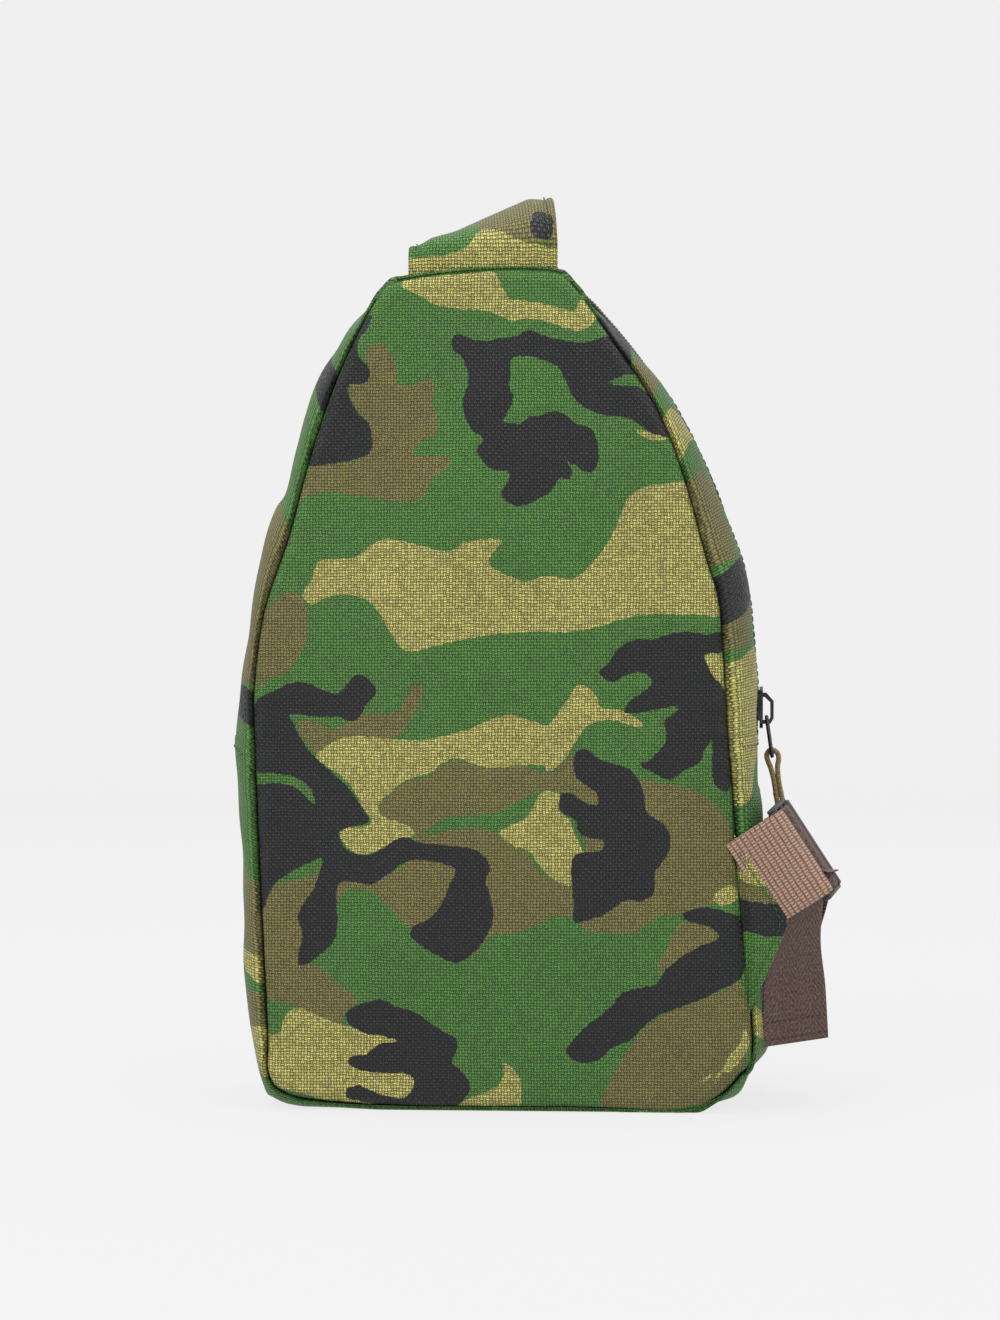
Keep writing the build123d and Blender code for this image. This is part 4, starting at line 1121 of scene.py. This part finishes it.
class SLINGBAG_OT_materials(bpy.types.Operator):
    """Makes the cloth, webbing, tape, metal and plastic, and the trees for stitches and coil teeth"""

    bl_idname = "sling_bag.materials"
    bl_label = "Materials"

    def execute(self, context):
        KIT["it"] = Kit(context.scene)
        return {"FINISHED"}


class SLINGBAG_OT_back_panel(bpy.types.Operator):
    """Makes the padded back panel in printed oxford cloth"""

    bl_idname = "sling_bag.back_panel"
    bl_label = "Back panel"

    def execute(self, context):
        obj = panel("back_panel_cloth", back_depth, lambda flat: flat)
        turn_from(obj, (0, 60, MIDDLE_Z))
        paint(thicken(obj, 2.4), kit().cloth)
        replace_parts(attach(obj, "bag"), "back_panel", "back_foam", "back_lining")
        return {"FINISHED"}


class SLINGBAG_OT_front_panel(bpy.types.Operator):
    """Makes the front panel, its pocket zip's welt and the topstitching round it"""

    bl_idname = "sling_bag.front_panel"
    bl_label = "Front panel"

    def execute(self, context):
        obj = panel("front_panel_cloth", front_depth, lambda flat: np.stack([-flat[:, 0] + 6, 342 - flat[:, 1]], 1))
        turn_from(obj, (0, -60, MIDDLE_Z))
        paint(thicken(obj, 1.0), kit().cloth)
        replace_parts(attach(obj, "bag"), "front_panel")

        def frame_line(out, count=60):
            x0, x1, z0, z1 = POCKET_X - POCKET_HALF - out, POCKET_X + POCKET_HALF + out, POCKET_Z0 - out, POCKET_Z1 + out
            r = 1.2 + out * 0.3
            keys = []
            for cx, cz, start in (
                (x1 - r, z0 + r, -90), (x1 - r, z1 - r, 0), (x0 + r, z1 - r, 90), (x0 + r, z0 + r, 180)
            ):
                keys += [
                    (cx + r * math.cos(math.radians(start + a)), cz + r * math.sin(math.radians(start + a)))
                    for a in (0, 30, 60, 90)
                ]
            loop = np.array(keys + keys[:1])
            parts = [
                by_length(loop[4 * i + 3 : 4 * i + 5], n)[:-1] if n > 2 else loop[4 * i + 3 : 4 * i + 4]
                for i, n in enumerate((70, 8, 70, 8))
            ]
            rows = []
            for i in range(4):
                rows += [loop[4 * i : 4 * i + 3], parts[i]]
            return np.vstack(rows)

        section = [
            (0.0, 44.9), (0.0, 46.6), (0.5, 47.3), (1.4, 47.5), (2.6, 47.15), (3.6, 47.4), (4.4, 47.1), (4.7, 46.0),
            (4.7, 44.9)
        ]
        rings = np.stack([np.insert(frame_line(out), 1, depth, axis=1) for out, depth in section], 1)
        n, m = rings.shape[:2]
        faces = [
            ((i * m + j), ((i + 1) % n) * m + j, ((i + 1) % n) * m + (j + 1) % m, i * m + (j + 1) % m)
            for i in range(n)
            for j in range(m)
        ]
        uv = rings.reshape(-1, 3)[:, (0, 2)]
        welt = make_mesh(
            "pocket_welt_cloth", rings.reshape(-1, 3), faces, uv, np.stack([-uv[:, 0] + 30, 300 - uv[:, 1]], 1)
        )
        face_out(welt)
        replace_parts(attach(paint(welt, kit().cloth), "bag"), "pocket_welt")
        row = np.insert(frame_line(2.6), 1, 47.35, axis=1)
        row = np.vstack([row, row[:1]])
        stitches = kit().stitch("pocket_welt_stitches", [(row, (0, 1, 0))])
        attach(stitches, "bag")
        return {"FINISHED"}


class SLINGBAG_OT_gusset(bpy.types.Operator):
    """Makes the gusset with the base, the strips beside the main zip, the seam binding and the stitching"""

    bl_idname = "sling_bag.gusset"
    bl_label = "Gusset"

    def execute(self, context):
        depths = np.concatenate(
            [
                -44 + 20 * (1 - np.cos(np.linspace(0, math.pi / 2, 20))), np.linspace(-22, 22, 23),
                44 - 20 * (1 - np.cos(np.linspace(math.pi / 2, 0, 20)))
            ]
        )
        depths = np.unique(np.round(depths, 3))
        lower = gusset_piece("lower_gusset_cloth", list(range(LEFT_SPLIT - COUNT, RIGHT_SPLIT + 1)), depths, 0.5)
        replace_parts(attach(lower, "bag"), "lower_gusset", "lining_base")
        upper = list(range(RIGHT_SPLIT - 4, LEFT_SPLIT + 5))
        for name, side, nodes in (
            ("gusset_rear_cloth", -1, ("gusset_rear_strip", "lining_rear_strip")),
            ("gusset_front_cloth", 1, ("gusset_front_strip", "lining_front_strip"))
        ):
            half = depths[(depths * side) >= 11]
            half = np.sort(np.concatenate([half, side * np.array([8.2, 8.9, 9.8])]))
            obj = gusset_piece(name, upper, half, 0.1)
            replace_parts(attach(obj, "bag"), *nodes)
        rows = []
        for side in (-1, 1):
            rows.append(
                (
                    gusset_points(upper[8:-8], [side * 10.6], 0.25)[:, 0],
                    np.insert(RIM_OUT[np.array(upper[8:-8])], 1, 0, axis=1)
                )
            )
        for k in (RIGHT_SPLIT - 2, LEFT_SPLIT + 2):
            across = np.linspace(-41, 41, 60)
            rows.append((gusset_points([k], across, 0.75)[0], np.insert(RIM_OUT[[k]], 1, 0, axis=1)))
        stitches = kit().stitch("gusset_stitches", rows)
        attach(stitches, "bag")
        rings = []
        for y in (-1, 1):
            turn = np.linspace(0, 2 * math.pi, 9)[:-1]
            line = SEAM - RIM_OUT * 2.6
            ring = np.stack(
                [
                    line[:, None, 0] - RIM_OUT[:, None, 0] * BINDING * np.cos(turn),
                    y * (SEAM_Y - 2.4) + BINDING * np.sin(turn) + 0 * line[:, None, 0],
                    np.maximum(line[:, None, 1] - RIM_OUT[:, None, 1] * BINDING * np.cos(turn), 0.4)
                ],
                -1
            )
            rings.append(ring)
        verts = np.concatenate([r.reshape(-1, 3) for r in rings])
        faces = [
            tuple(v + part * COUNT * 8 for v in q)
            for part in (0, 1)
            for q in [
                ((i * 8 + j), ((i + 1) % COUNT) * 8 + j, ((i + 1) % COUNT) * 8 + (j + 1) % 8, i * 8 + (j + 1) % 8)
                for i in range(COUNT)
                for j in range(8)
            ]
        ]
        binding = make_mesh("seam_binding", verts, faces)
        face_out(binding)
        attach(paint(binding, kit().lining), "bag")
        return {"FINISHED"}


class SLINGBAG_OT_zips(bpy.types.Operator):
    """Makes the zips' tapes and interlocking coils, and finishes the sliders, links and stops"""

    bl_idname = "sling_bag.zips"
    bl_label = "Zips"

    def execute(self, context):
        k = kit()
        line = by_length(zip_line(2.7), 340)
        out = np.insert(line_out(line), 1, 0, axis=1)
        centre = np.insert(line, 1, 0, axis=1)
        for name, side, node in (
            ("main_zip_tape_rear_cloth", -1, "main_zip_tape_rear"),
            ("main_zip_tape_front_cloth", 1, "main_zip_tape_front")
        ):
            frames = (
                centre + np.array([0, side * 7.4, 0]), np.broadcast_to([0, 1.0, 0], centre.shape), out,
                np.linspace(0, 600, len(line))
            )
            tape = webbing(name, frames, 4.4, 0.8, 8)
            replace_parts(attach(paint(tape, k.tape), "bag"), node)
        rows = [(side, by_length(zip_line(2.4), 900)) for side in (-1, 1)]
        pitch = k.s.coil_pitch
        for side, coil in rows:
            start = 0 if side < 0 else 1
            base = np.insert(coil[start:], 1, side * COIL_APART, axis=1)
            teeth = lay_beads(
                "main_zip_teeth_" + ("rear" if side < 0 else "front"), k.teeth,
                [(base, np.insert(line_out(coil[start:]), 1, 0, axis=1))], pitch, COIL_TURN, k.coil
            )
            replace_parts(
                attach(teeth, "bag"),
                "main_zip_coil_rear" if side < 0 else "main_zip_coil_front"
            )
        for side, word in ((-1, "left"), (1, "right")):
            z = np.linspace(POCKET_Z0 - 1, POCKET_Z1 + 1, 90)
            x = POCKET_X + side * 5.6
            frames = (
                np.stack([0 * z + x, 0 * z + 44.0, z], 1), np.broadcast_to([1.0, 0, 0], (90, 3)),
                np.broadcast_to([0, 1.0, 0], (90, 3)), z - z[0]
            )
            tape = webbing("pocket_zip_tape_" + word + "_cloth", frames, 2.9, 0.8, 8)
            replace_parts(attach(paint(tape, k.tape), "bag"), "pocket_zip_tape_" + word)
            z = np.linspace(POCKET_Z0 + 2.4 + (0.75 if side > 0 else 0), POCKET_Z1 - 2.4, 90)
            base = np.stack([0 * z + POCKET_X + side * COIL_APART, 0 * z + 44.1, z], 1)
            teeth = lay_beads("pocket_zip_teeth_" + word, k.teeth, [(base, (0, 1, 0))], pitch, COIL_TURN, k.coil)
            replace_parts(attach(teeth, "bag"), "pocket_zip_coil_" + word)
        for node in (
            "main_slider", "main_pull_link", "pocket_slider", "pocket_pull_link", "main_zip_stops", "pocket_zip_stops"
        ):
            for slot in bpy.data.objects[node].material_slots:
                slot.material = k.metal
        lean = math.radians(9)
        down_out = (math.sin(lean), math.cos(lean))
        for name, body, hinge, face, across in (
            ("main", "main_pull_tape", (109.927, 0, 141.156), (1, 0, 0), (0, 1, 0)),
            ("pocket", "pocket_pull_tape", (-42, 50.927, 87.156), (0, 1, 0), (-1, 0, 0))
        ):
            face = np.array(face, float)
            down = face * down_out[0] - np.array([0, 0, down_out[1]])
            outward = face * down_out[1] + np.array([0, 0, down_out[0]])
            loop = [
                (24.0, 4.6), (22.5, 2.7), (19.5, 1.6), (15, 1.25), (9, 1.15), (4.6, 1.6), (1.8, 2.5), (-0.8, 2.3),
                (-2.4, 0), (-0.8, -2.0), (1.8, -2.0), (4.6, -1.35), (9, -0.85), (15, -0.8), (19.5, -0.8), (24.0, -0.5)
            ]
            frames = line_frames(local_path(hinge, down, outward, across, loop), 110)
            tape = paint(webbing(name + "_pull_tape_woven", frames, 4.3, 2.1, 10), k.pull)
            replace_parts(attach(tape, body), body)
            spots = []
            for a in (6.2, 7.0, 15.5, 16.3):
                spots.append(
                    (
                        np.array(
                            [
                                np.array(hinge) + down * a + outward * 2.15 + np.array(across) * s
                                for s in np.linspace(-3.4, 3.4, 14)
                            ]
                        ),
                        outward
                    )
                )
                spots.append(
                    (
                        np.array(
                            [
                                np.array(hinge) + down * a - outward * 1.8 + np.array(across) * s
                                for s in np.linspace(-3.4, 3.4, 14)
                            ]
                        ),
                        -outward
                    )
                )
            tack = lay_beads(name + "_pull_tape_bartack", k.stitches, spots, 0.9 * MM, (0.95, 0.45, 0.5), k.pull)
            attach(tack, body)
        return {"FINISHED"}


STRAP = [
    ((-6, -37.0, 328), (1, 0, 0.0)), ((-6, -38.6, 334), (1, 0, 0.0)), ((-6, -39.6, 341), (1, 0, 0.03)),
    ((-6, -36, 350), (0.98, 0, 0.2)), ((-6.5, -18, 355.5), (0.918, 0, 0.397)), ((-9, 12, 356.5), (0.94, 0, 0.34)),
    ((-12, 44, 350), (0.945, 0, 0.325)), ((-4, 68, 318), (0.94, 0, 0.34)), ((17, 79, 264), (0.93, 0, 0.36)),
    ((41, 82, 208), (0.94, 0, 0.34)), ((56, 80, 158), (0.94, 0, 0.33)), ((66, 77, 124), (0.94, 0, 0.33))
]
STRAP_BASE_INKS = (
    [[(-8, 32), (-3, 22), (1, 16), (8, 14), (16, 11), (26, 11), (36, 9), (36, 46), (20, 52), (4, 44)]],
    [[(-36, -12), (-36, 5), (-24, 6), (-14, 7), (-6, 10), (0, 16), (8, 14), (16, 11), (26, 10), (36, 8), (36, -12)]],
    [[(20, 13), (21, 18), (24, 21), (28, 20), (29, 15), (26, 12)]],
)


def strap_inks():
    return tuple(
        [
            *[[(x, l + 8) for x, l in shape] for shape in base],
            *[[(x * 0.9 + 22, 400 - z) for x, z in shape] for shape in shapes if min(p[1] for p in shape) < 330]
        ]
        for base, shapes in zip(STRAP_BASE_INKS, (BROWN, SAND, BLACK))
    )


class SLINGBAG_OT_strap(bpy.types.Operator):
    """Makes the padded shoulder strap with turned, topstitched edges and the patch at its end"""

    bl_idname = "sling_bag.strap"
    bl_label = "Padded strap"

    def execute(self, context):
        frames = line_frames(STRAP, 190)
        run = frames[3]
        end = run[-1]
        half = STRAP_HALF * np.interp(run, [0, end - 150, end - 60, end], [0.985, 0.985, 0.86, 0.74])

        def thick(l):
            return 1.4 + 2.9 * float(smooth_share(l / 30)) - 1.4 * float(smooth_share((l - end + 22) / 22))

        def face(t, l):
            s = abs(t) * STRAP_HALF
            edge = (1 - abs(t) ** 16) ** 0.5
            pad = 0.45 + 0.55 * float(smooth_share((27.2 - s) / 7.0))
            pinch = 0.32 * math.exp(-(((s - 27.4) / 0.9) ** 2))
            return max(0.0, thick(l) * (pad - pinch * 0.6) * edge) + 0.12 * math.sin(l * 0.17 + t * 2) * (1 - abs(t))

        obj = band(
            "strap_padded_cloth", frames, half, face, lambda t, l: -face(t, l) * (1 if abs(t) < 1 else 0), 44, None
        )
        # each vertex's place on the cloth, read back from the UV map, since loft() merges its doubles
        uv = np.empty(len(obj.data.loops) * 2, np.float32)
        obj.data.uv_layers[0].data.foreach_get("uv", uv)
        at = np.empty(len(obj.data.loops), np.int64)
        obj.data.loops.foreach_get("vertex_index", at)
        cloth = np.zeros((len(obj.data.vertices), 2))
        cloth[at] = uv.reshape(-1, 2) / MM
        store_inks(obj, cloth, strap_inks())
        paint(obj, kit().cloth)
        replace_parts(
            obj, "strap_outer_cover", "strap_foam", "strap_inner_cover", "strap_anchor"
        )
        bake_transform(obj)
        rows = []
        keep = slice(10, -6)
        part = tuple(v[keep] for v in frames)
        height = np.array([thick(l) * 0.52 for l in part[3]])[:, None]
        for side in (-1, 1):
            for up in (1, -1):
                rows.append(
                    (part[0] + part[1] * (side * (half[keep] - 3.1))[:, None] + part[2] * up * height, part[2] * up)
                )
        stitches = kit().stitch("strap_stitches", rows)
        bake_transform(stitches)

        patch_frames = line_frames(
            [
                ((64.2, 77.6, 130.5), (0.94, 0, 0.33)), ((66, 77, 124), (0.94, 0, 0.33)),
                ((67.6, 76.6, 118.6), (0.94, 0, 0.33))
            ],
            14
        )

        def sleeve(t, l):
            return (3.9 - 1.7 * float(smooth_share((l - 6) / 6))) * (1 - abs(t) ** 10) ** 0.5

        patch = band(
            "strap_end_patch_cloth", patch_frames, 23.2, sleeve, lambda t, l: -sleeve(t, l), 24,
            lambda flat: flat + np.array([40, 150])
        )
        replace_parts(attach(paint(patch, kit().cloth), "strap"), "strap_end_patch")
        centre, across, out, run = patch_frames
        rows = [
            (
                centre[i] + across[i] * np.linspace(-20, 20, 30)[:, None] + out[i] * up * (sleeve(0, run[i]) + 0.1),
                out[i] * up
            )
            for i in (3, 9)
            for up in (1, -1)
        ]
        seam = kit().stitch("strap_end_patch_stitches", rows)
        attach(seam, "strap")
        return {"FINISHED"}


TAB_ROOT, TAB_TIP, TAB_FOOT = np.array([95.0, 111.0]), np.array([117.0, 77.0]), np.array([98.0, 33.0])
EDGE_ALONG, EDGE_OUT = np.array([0.54325, 0, -0.83957]), np.array([0.83957, 0, 0.54325])
LOOP_MID = np.array([106.0, TAB_Y, 94.0])
LOCK_ORIGIN = LOOP_MID + EDGE_OUT * 17.5
LEAN = math.radians(12)
LOCK_ALONG = np.array([0, math.cos(LEAN), 0]) + EDGE_OUT * math.sin(LEAN)
LOCK_OUT = EDGE_OUT * math.cos(LEAN) - np.array([0, math.sin(LEAN), 0])


class SLINGBAG_OT_side_tab(bpy.types.Operator):
    """Makes the folded cloth tab at the bag's lower corner, its topstitching and the webbing loop it holds"""

    bl_idname = "sling_bag.side_tab"
    bl_label = "Side tab and loop"

    def execute(self, context):
        outer = np.vstack(
            [
                by_length([TAB_ROOT, TAB_TIP], 26)[:-2],
                smooth(
                    [
                        TAB_TIP + (TAB_ROOT - TAB_TIP) * 0.06, TAB_TIP - (1.0, 0.2),
                        TAB_TIP + (TAB_FOOT - TAB_TIP) * 0.05
                    ],
                    4
                ),
                by_length([TAB_TIP, TAB_FOOT], 34)[2:]
            ]
        )
        high = np.linspace(111.5, 36, len(outer))
        seam = np.array(SEAM_RIGHT[::-1])
        root = np.stack([np.interp(high, seam[:, 1], seam[:, 0]) - 0.6, high], 1)
        share = 1 - np.linspace(1, 0, 24) ** 1.7
        rings, flats = [], []
        for a, b in zip(root, outer):
            reach = np.linalg.norm(b - a)
            line = a + (b - a) * share[:, None]
            d = (1 - share) * reach
            h = 2.35 * rounded(d, 0.8) - 0.3 * np.exp(
                -(((d - 3.2) / 0.8) ** 2)
            ) + 0.1 * np.sin(line[:, 1] * 0.12) * smooth_share(d / 4)
            h = h * (0.45 + 0.55 * smooth_share(share * reach / 5))
            h[-1] = 0
            mid = TAB_Y + 2.7 * (1 - smooth_share(share * reach / 6))
            upper = np.stack([line[:, 0], mid - np.maximum(h, 0), line[:, 1]], 1)
            lower = np.stack([line[:, 0], mid + np.maximum(h, 0), line[:, 1]], 1)[1:-1][::-1]
            rings.append(np.vstack([upper, lower]))
            flats.append(np.vstack([line, line[1:-1][::-1]]))
        rings = np.array(rings)
        inks = (
            [[(90, 99), (98, 93), (106, 90), (114, 88), (110, 83), (98, 85), (90, 86)]],
            [
                [(90, 116), (100, 110), (110, 98), (108, 91), (98, 93), (90, 99)],
                [(90, 40), (100, 40), (104, 36), (104, 26), (90, 24)]
            ],
            [[(90, 86), (100, 85), (110, 84), (122, 84), (120, 73), (108, 71), (100, 73), (90, 70)]]
        )
        tab = loft("side_tab_cloth", rings, np.array(flats), None)
        place = np.array([v.co for v in tab.data.vertices]) / MM
        store_inks(tab, place[:, (0, 2)], inks)
        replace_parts(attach(paint(tab, kit().cloth), "bag"), "side_tab")
        inset = []
        for a, b in zip(root, outer):
            reach = np.linalg.norm(b - a)
            inset.append(a + (b - a) * max(0.0, 1 - 3.2 / max(reach, 3.3)))
        inset = np.array(inset)[6:-16]
        rows = [(np.insert(inset, 1, TAB_Y + side * 2.15, axis=1), (0, side, 0)) for side in (-1, 1)]
        seam = kit().stitch("side_tab_stitches", rows)
        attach(seam, "bag")

        loop = [
            (-5, -0.76), (0, -1.0), (5, -1.9), (10, -2.9), (15, -3.25), (18.4, -3.1), (20.4, -1.7), (20.9, 0),
            (20.4, 1.7), (18.4, 3.1), (15, 3.25), (10, 2.9), (5, 1.9), (0, 1.0), (-5, 0.76)
        ]
        frames = line_frames(local_path(LOOP_MID, EDGE_OUT, (0, 1, 0), EDGE_ALONG, loop), 120)
        obj = paint(webbing("tab_webbing_loop_woven", frames, WEBBING_HALF, WEBBING_THICK, 20), kit().tan)
        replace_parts(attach(obj, "bag"), "tab_webbing_loop")
        return {"FINISHED"}


class SLINGBAG_OT_adjuster(bpy.types.Operator):
    """Makes the ladder lock and the twill webbing that runs from the strap through it and hangs down"""

    bl_idname = "sling_bag.adjuster"
    bl_label = "Adjuster webbing"

    @staticmethod
    def block(bm, low, high):
        corner = [
            bm.verts.new((x, y, z)) for x in (low[0], high[0]) for y in (low[1], high[1]) for z in (low[2], high[2])
        ]
        for q in ((0, 1, 3, 2), (4, 6, 7, 5), (0, 4, 5, 1), (2, 3, 7, 6), (0, 2, 6, 4), (1, 5, 7, 3)):
            bm.faces.new([corner[i] for i in q])

    def execute(self, context):
        k = kit()
        # rails square to the bars, so that the webbing is held flat between them
        bm = bmesh.new()
        bars = [(a, 0.0, 1.9, 1.9) for a in (0.0, 11.5, 21.5)]
        for a, b, wide, deep in bars:
            self.block(bm, (a - wide, -20.0, b - deep), (a + wide, 20.0, b + deep))
        for side in (-1, 1):
            self.block(bm, (-1.9, side * 20.4 - 0.95, -1.7), (24.0, side * 20.4 + 0.95, 1.9))
        self.block(bm, (20.4, -20.0, 1.0), (24.6, 20.0, 2.8))
        mesh = bpy.data.meshes.new("ladder_lock_moulded")
        bm.to_mesh(mesh)
        bm.free()
        lock = bpy.data.objects.new("ladder_lock_moulded", mesh)
        context.scene.collection.objects.link(lock)
        for v in mesh.vertices:
            place = LOCK_ORIGIN + LOCK_ALONG * v.co.x + EDGE_ALONG * v.co.y + LOCK_OUT * v.co.z
            v.co = tuple(place * MM)
        face_out(lock)
        bevel = lock.modifiers.new("edges", "BEVEL")
        bevel.width, bevel.segments = 0.75 * MM, 3
        apply_modifiers(lock)
        lock.data.shade_smooth()
        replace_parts(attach(paint(lock, k.lock), "ladder_lock"), "ladder_lock")
        run = [
            ((68.2, 76.5, 117), (0.94, 0, 0.33)), ((69.5, 76.2, 112), (0.94, 0, 0.33)),
            ((78, 77, 92), (0.85, 0.1, 0.5)), ((92, 75, 76), (0.55, 0.25, 0.8)), ((108, 66, 70), (0.2, 0.1, 0.97)),
            ((119, 50, 71), (0, 0, 1)), ((123, 28, 79), (-0.2, 0.1, 0.97)), ((123.6, 7, 91.5), (-0.4, 0.2, 0.89)),
            ((122.9, -8.2, 101.4), (-0.543, 0, 0.84))
        ]
        obj = paint(webbing("strap_webbing_woven", line_frames(run, 150), WEBBING_HALF, WEBBING_THICK, 18), k.twill)
        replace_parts(obj, "strap_webbing")
        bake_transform(obj)
        wrap = [
            (28, 3.6), (22, 3.6), (17.4, 3.3), (16.3, 0.4), (15.6, -2.7), (12, -3.1), (8, -2.9), (6.6, -0.6),
            (6.3, 2.6), (7.2, 5.2), (8.8, 6.4)
        ]
        stations = local_path(LOCK_ORIGIN, LOCK_ALONG, -LOCK_OUT, EDGE_ALONG, wrap)
        wrapped = paint(
            webbing("lock_webbing_wrap_woven", line_frames(stations, 90), WEBBING_HALF, WEBBING_THICK, 18), k.twill
        )
        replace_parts(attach(wrapped, "ladder_lock"), "lock_webbing_wrap")
        tail = [
            stations[-1], ((118.0, -31.0, 93.5), (0.62, 0.35, -0.55)), ((118.9, -26.6, 83), (0.62, 0.76, -0.08)),
            ((118.6, -25, 66), (0.58, 0.81, 0)), ((119.0, -25.4, 48), (0.66, 0.75, 0.08)),
            ((119.4, -25, 26.5), (0.70, 0.70, 0.14))
        ]
        frames = line_frames(tail, 90)
        hang = paint(webbing("webbing_tail_woven", frames, WEBBING_HALF, WEBBING_THICK, 18), k.twill)
        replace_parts(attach(hang, "ladder_lock"), "webbing_tail")
        centre, across, out, at = frames
        rows = [
            (centre[i] + across[i] * np.linspace(-17, 17, 30)[:, None] + out[i] * up * 0.85, out[i] * up)
            for i in (-4, -12)
            for up in (1, -1)
        ]
        hem = k.stitch("webbing_tail_hem_stitches", rows, k.dark_thread)
        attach(hem, "ladder_lock")
        return {"FINISHED"}


class SLINGBAG_OT_lining(bpy.types.Operator):
    """Gives the lining and the pocket's pouch inside the bag their cloth"""

    bl_idname = "sling_bag.lining"
    bl_label = "Lining"

    def execute(self, context):
        for node in ("front_lining", "pocket_pouch"):
            for slot in bpy.data.objects[node].material_slots:
                slot.material = kit().lining
        return {"FINISHED"}


PAPER_GLOW = 0.925


class SLINGBAG_OT_stage(bpy.types.Operator):
    """Makes the pale studio floor, the soft lights and the camera"""

    bl_idname = "sling_bag.stage"
    bl_label = "Studio"

    def execute(self, context):
        scene = context.scene
        c = scene.sling_bag_colours
        # seamless studio paper: matt and even, with a glow of its own so that only a thin shadow shows
        paper, tree = new_material("studio_paper")
        place = put(tree, "ShaderNodeTexCoord").outputs["Object"]
        tooth = put(tree, "ShaderNodeTexNoise", {"Vector": place, "Scale": 800.0}).outputs["Fac"]
        grey = tuple(v * 0.08 for v in c.paper[:3]) + (1.0,)
        close_material(
            tree, grey, None,
            Roughness=put(tree, "ShaderNodeMapRange", {"Value": tooth, "To Min": 0.9}).outputs["Result"],
            Specular_IOR_Level=0.0, Emission_Color=tuple(c.paper), Emission_Strength=PAPER_GLOW
        )
        path = [(1, 0), (400, 0), (2300, 0)] + [
            (2300 + 600 * math.sin(a), 600 - 600 * math.cos(a)) for a in np.linspace(0.2, math.pi / 2, 8)
        ] + [(2900, 3600)]
        turn = np.linspace(0, 2 * math.pi, 73)[:-1]
        rings = np.array([[(r * math.cos(t), r * math.sin(t), z - 0.3) for t in turn] for r, z in path])
        faces = grid_faces(len(path), len(turn), wrap=True) + [tuple(range(len(turn)))[::-1]]
        floor = make_mesh("studio_floor", rings.reshape(-1, 3), faces)
        floor.data.flip_normals()
        paint(floor, paper)
        world = bpy.data.worlds.new("studio_world")
        world.use_nodes = True
        world.node_tree.nodes["Background"].inputs["Color"].default_value = linear("#F4F5F7")
        world.node_tree.nodes["Background"].inputs["Strength"].default_value = 0.55
        scene.world = world
        for name, place, size, power in (
            ("key", (-1.1, -1.7, 1.5), 1.4, 34), ("fill", (1.4, -1.5, 0.9), 1.6, 15),
            ("top", (0.0, -0.2, 2.2), 1.8, 24), ("wash", (0.0, 0.9, 2.4), 2.2, 26)
        ):
            lamp = bpy.data.lights.new(name, "AREA")
            lamp.size, lamp.energy = size, power
            obj = bpy.data.objects.new(name, lamp)
            scene.collection.objects.link(obj)
            obj.location = place
            aim = (0.0, 0.0, 0.17) if name != "wash" else (0.0, 1.3, 0.4)
            obj.rotation_euler = (Vector(aim) - obj.location).to_track_quat("-Z", "Y").to_euler()
        data = bpy.data.cameras.new("camera")
        data.lens, data.sensor_width, data.sensor_fit = 100, 36, "AUTO"
        camera = bpy.data.objects.new("camera", data)
        scene.collection.objects.link(camera)
        azimuth, target, away = math.radians(4), Vector((0.0012, -0.044, 0.1808)), 1.4667
        camera.location = target + Vector((math.sin(azimuth), -math.cos(azimuth), 0.012)) * away
        camera.rotation_euler = (target - camera.location).to_track_quat("-Z", "Y").to_euler()
        scene.camera = camera
        scene.view_settings.view_transform = "Standard"
        return {"FINISHED"}


class SLINGBAG_PT_sidebar(bpy.types.Panel):
    """The bag's sizes, colours and pieces"""

    bl_idname = "SLINGBAG_PT_sidebar"
    bl_label = "Sling bag"
    bl_space_type = "VIEW_3D"
    bl_region_type = "UI"
    bl_category = "Sling bag"

    def draw(self, context):
        scene = context.scene
        for group in (scene.sling_bag_sizes, scene.sling_bag_colours):
            box = self.layout.box()
            for key in group.bl_rna.properties.keys():
                if key not in ("rna_type", "name"):
                    box.prop(group, key)
        for operator in PIECES:
            self.layout.operator(operator.bl_idname)


PIECES = (
    SLINGBAG_OT_materials, SLINGBAG_OT_back_panel, SLINGBAG_OT_front_panel, SLINGBAG_OT_gusset, SLINGBAG_OT_zips,
    SLINGBAG_OT_strap, SLINGBAG_OT_side_tab, SLINGBAG_OT_adjuster, SLINGBAG_OT_lining, SLINGBAG_OT_stage,
)
CLASSES = (SlingBagSizes, SlingBagColours, *PIECES, SLINGBAG_PT_sidebar)


def register():
    for cls in CLASSES:
        bpy.utils.register_class(cls)
    bpy.types.Scene.sling_bag_sizes = bpy.props.PointerProperty(type=SlingBagSizes)
    bpy.types.Scene.sling_bag_colours = bpy.props.PointerProperty(type=SlingBagColours)


def unregister():
    del bpy.types.Scene.sling_bag_colours
    del bpy.types.Scene.sling_bag_sizes
    for cls in reversed(CLASSES):
        bpy.utils.unregister_class(cls)


def main():
    register()
    for operator in PIECES:
        group, name = operator.bl_idname.split(".")
        getattr(getattr(bpy.ops, group), name)()


if __name__ == "__main__":
    main()
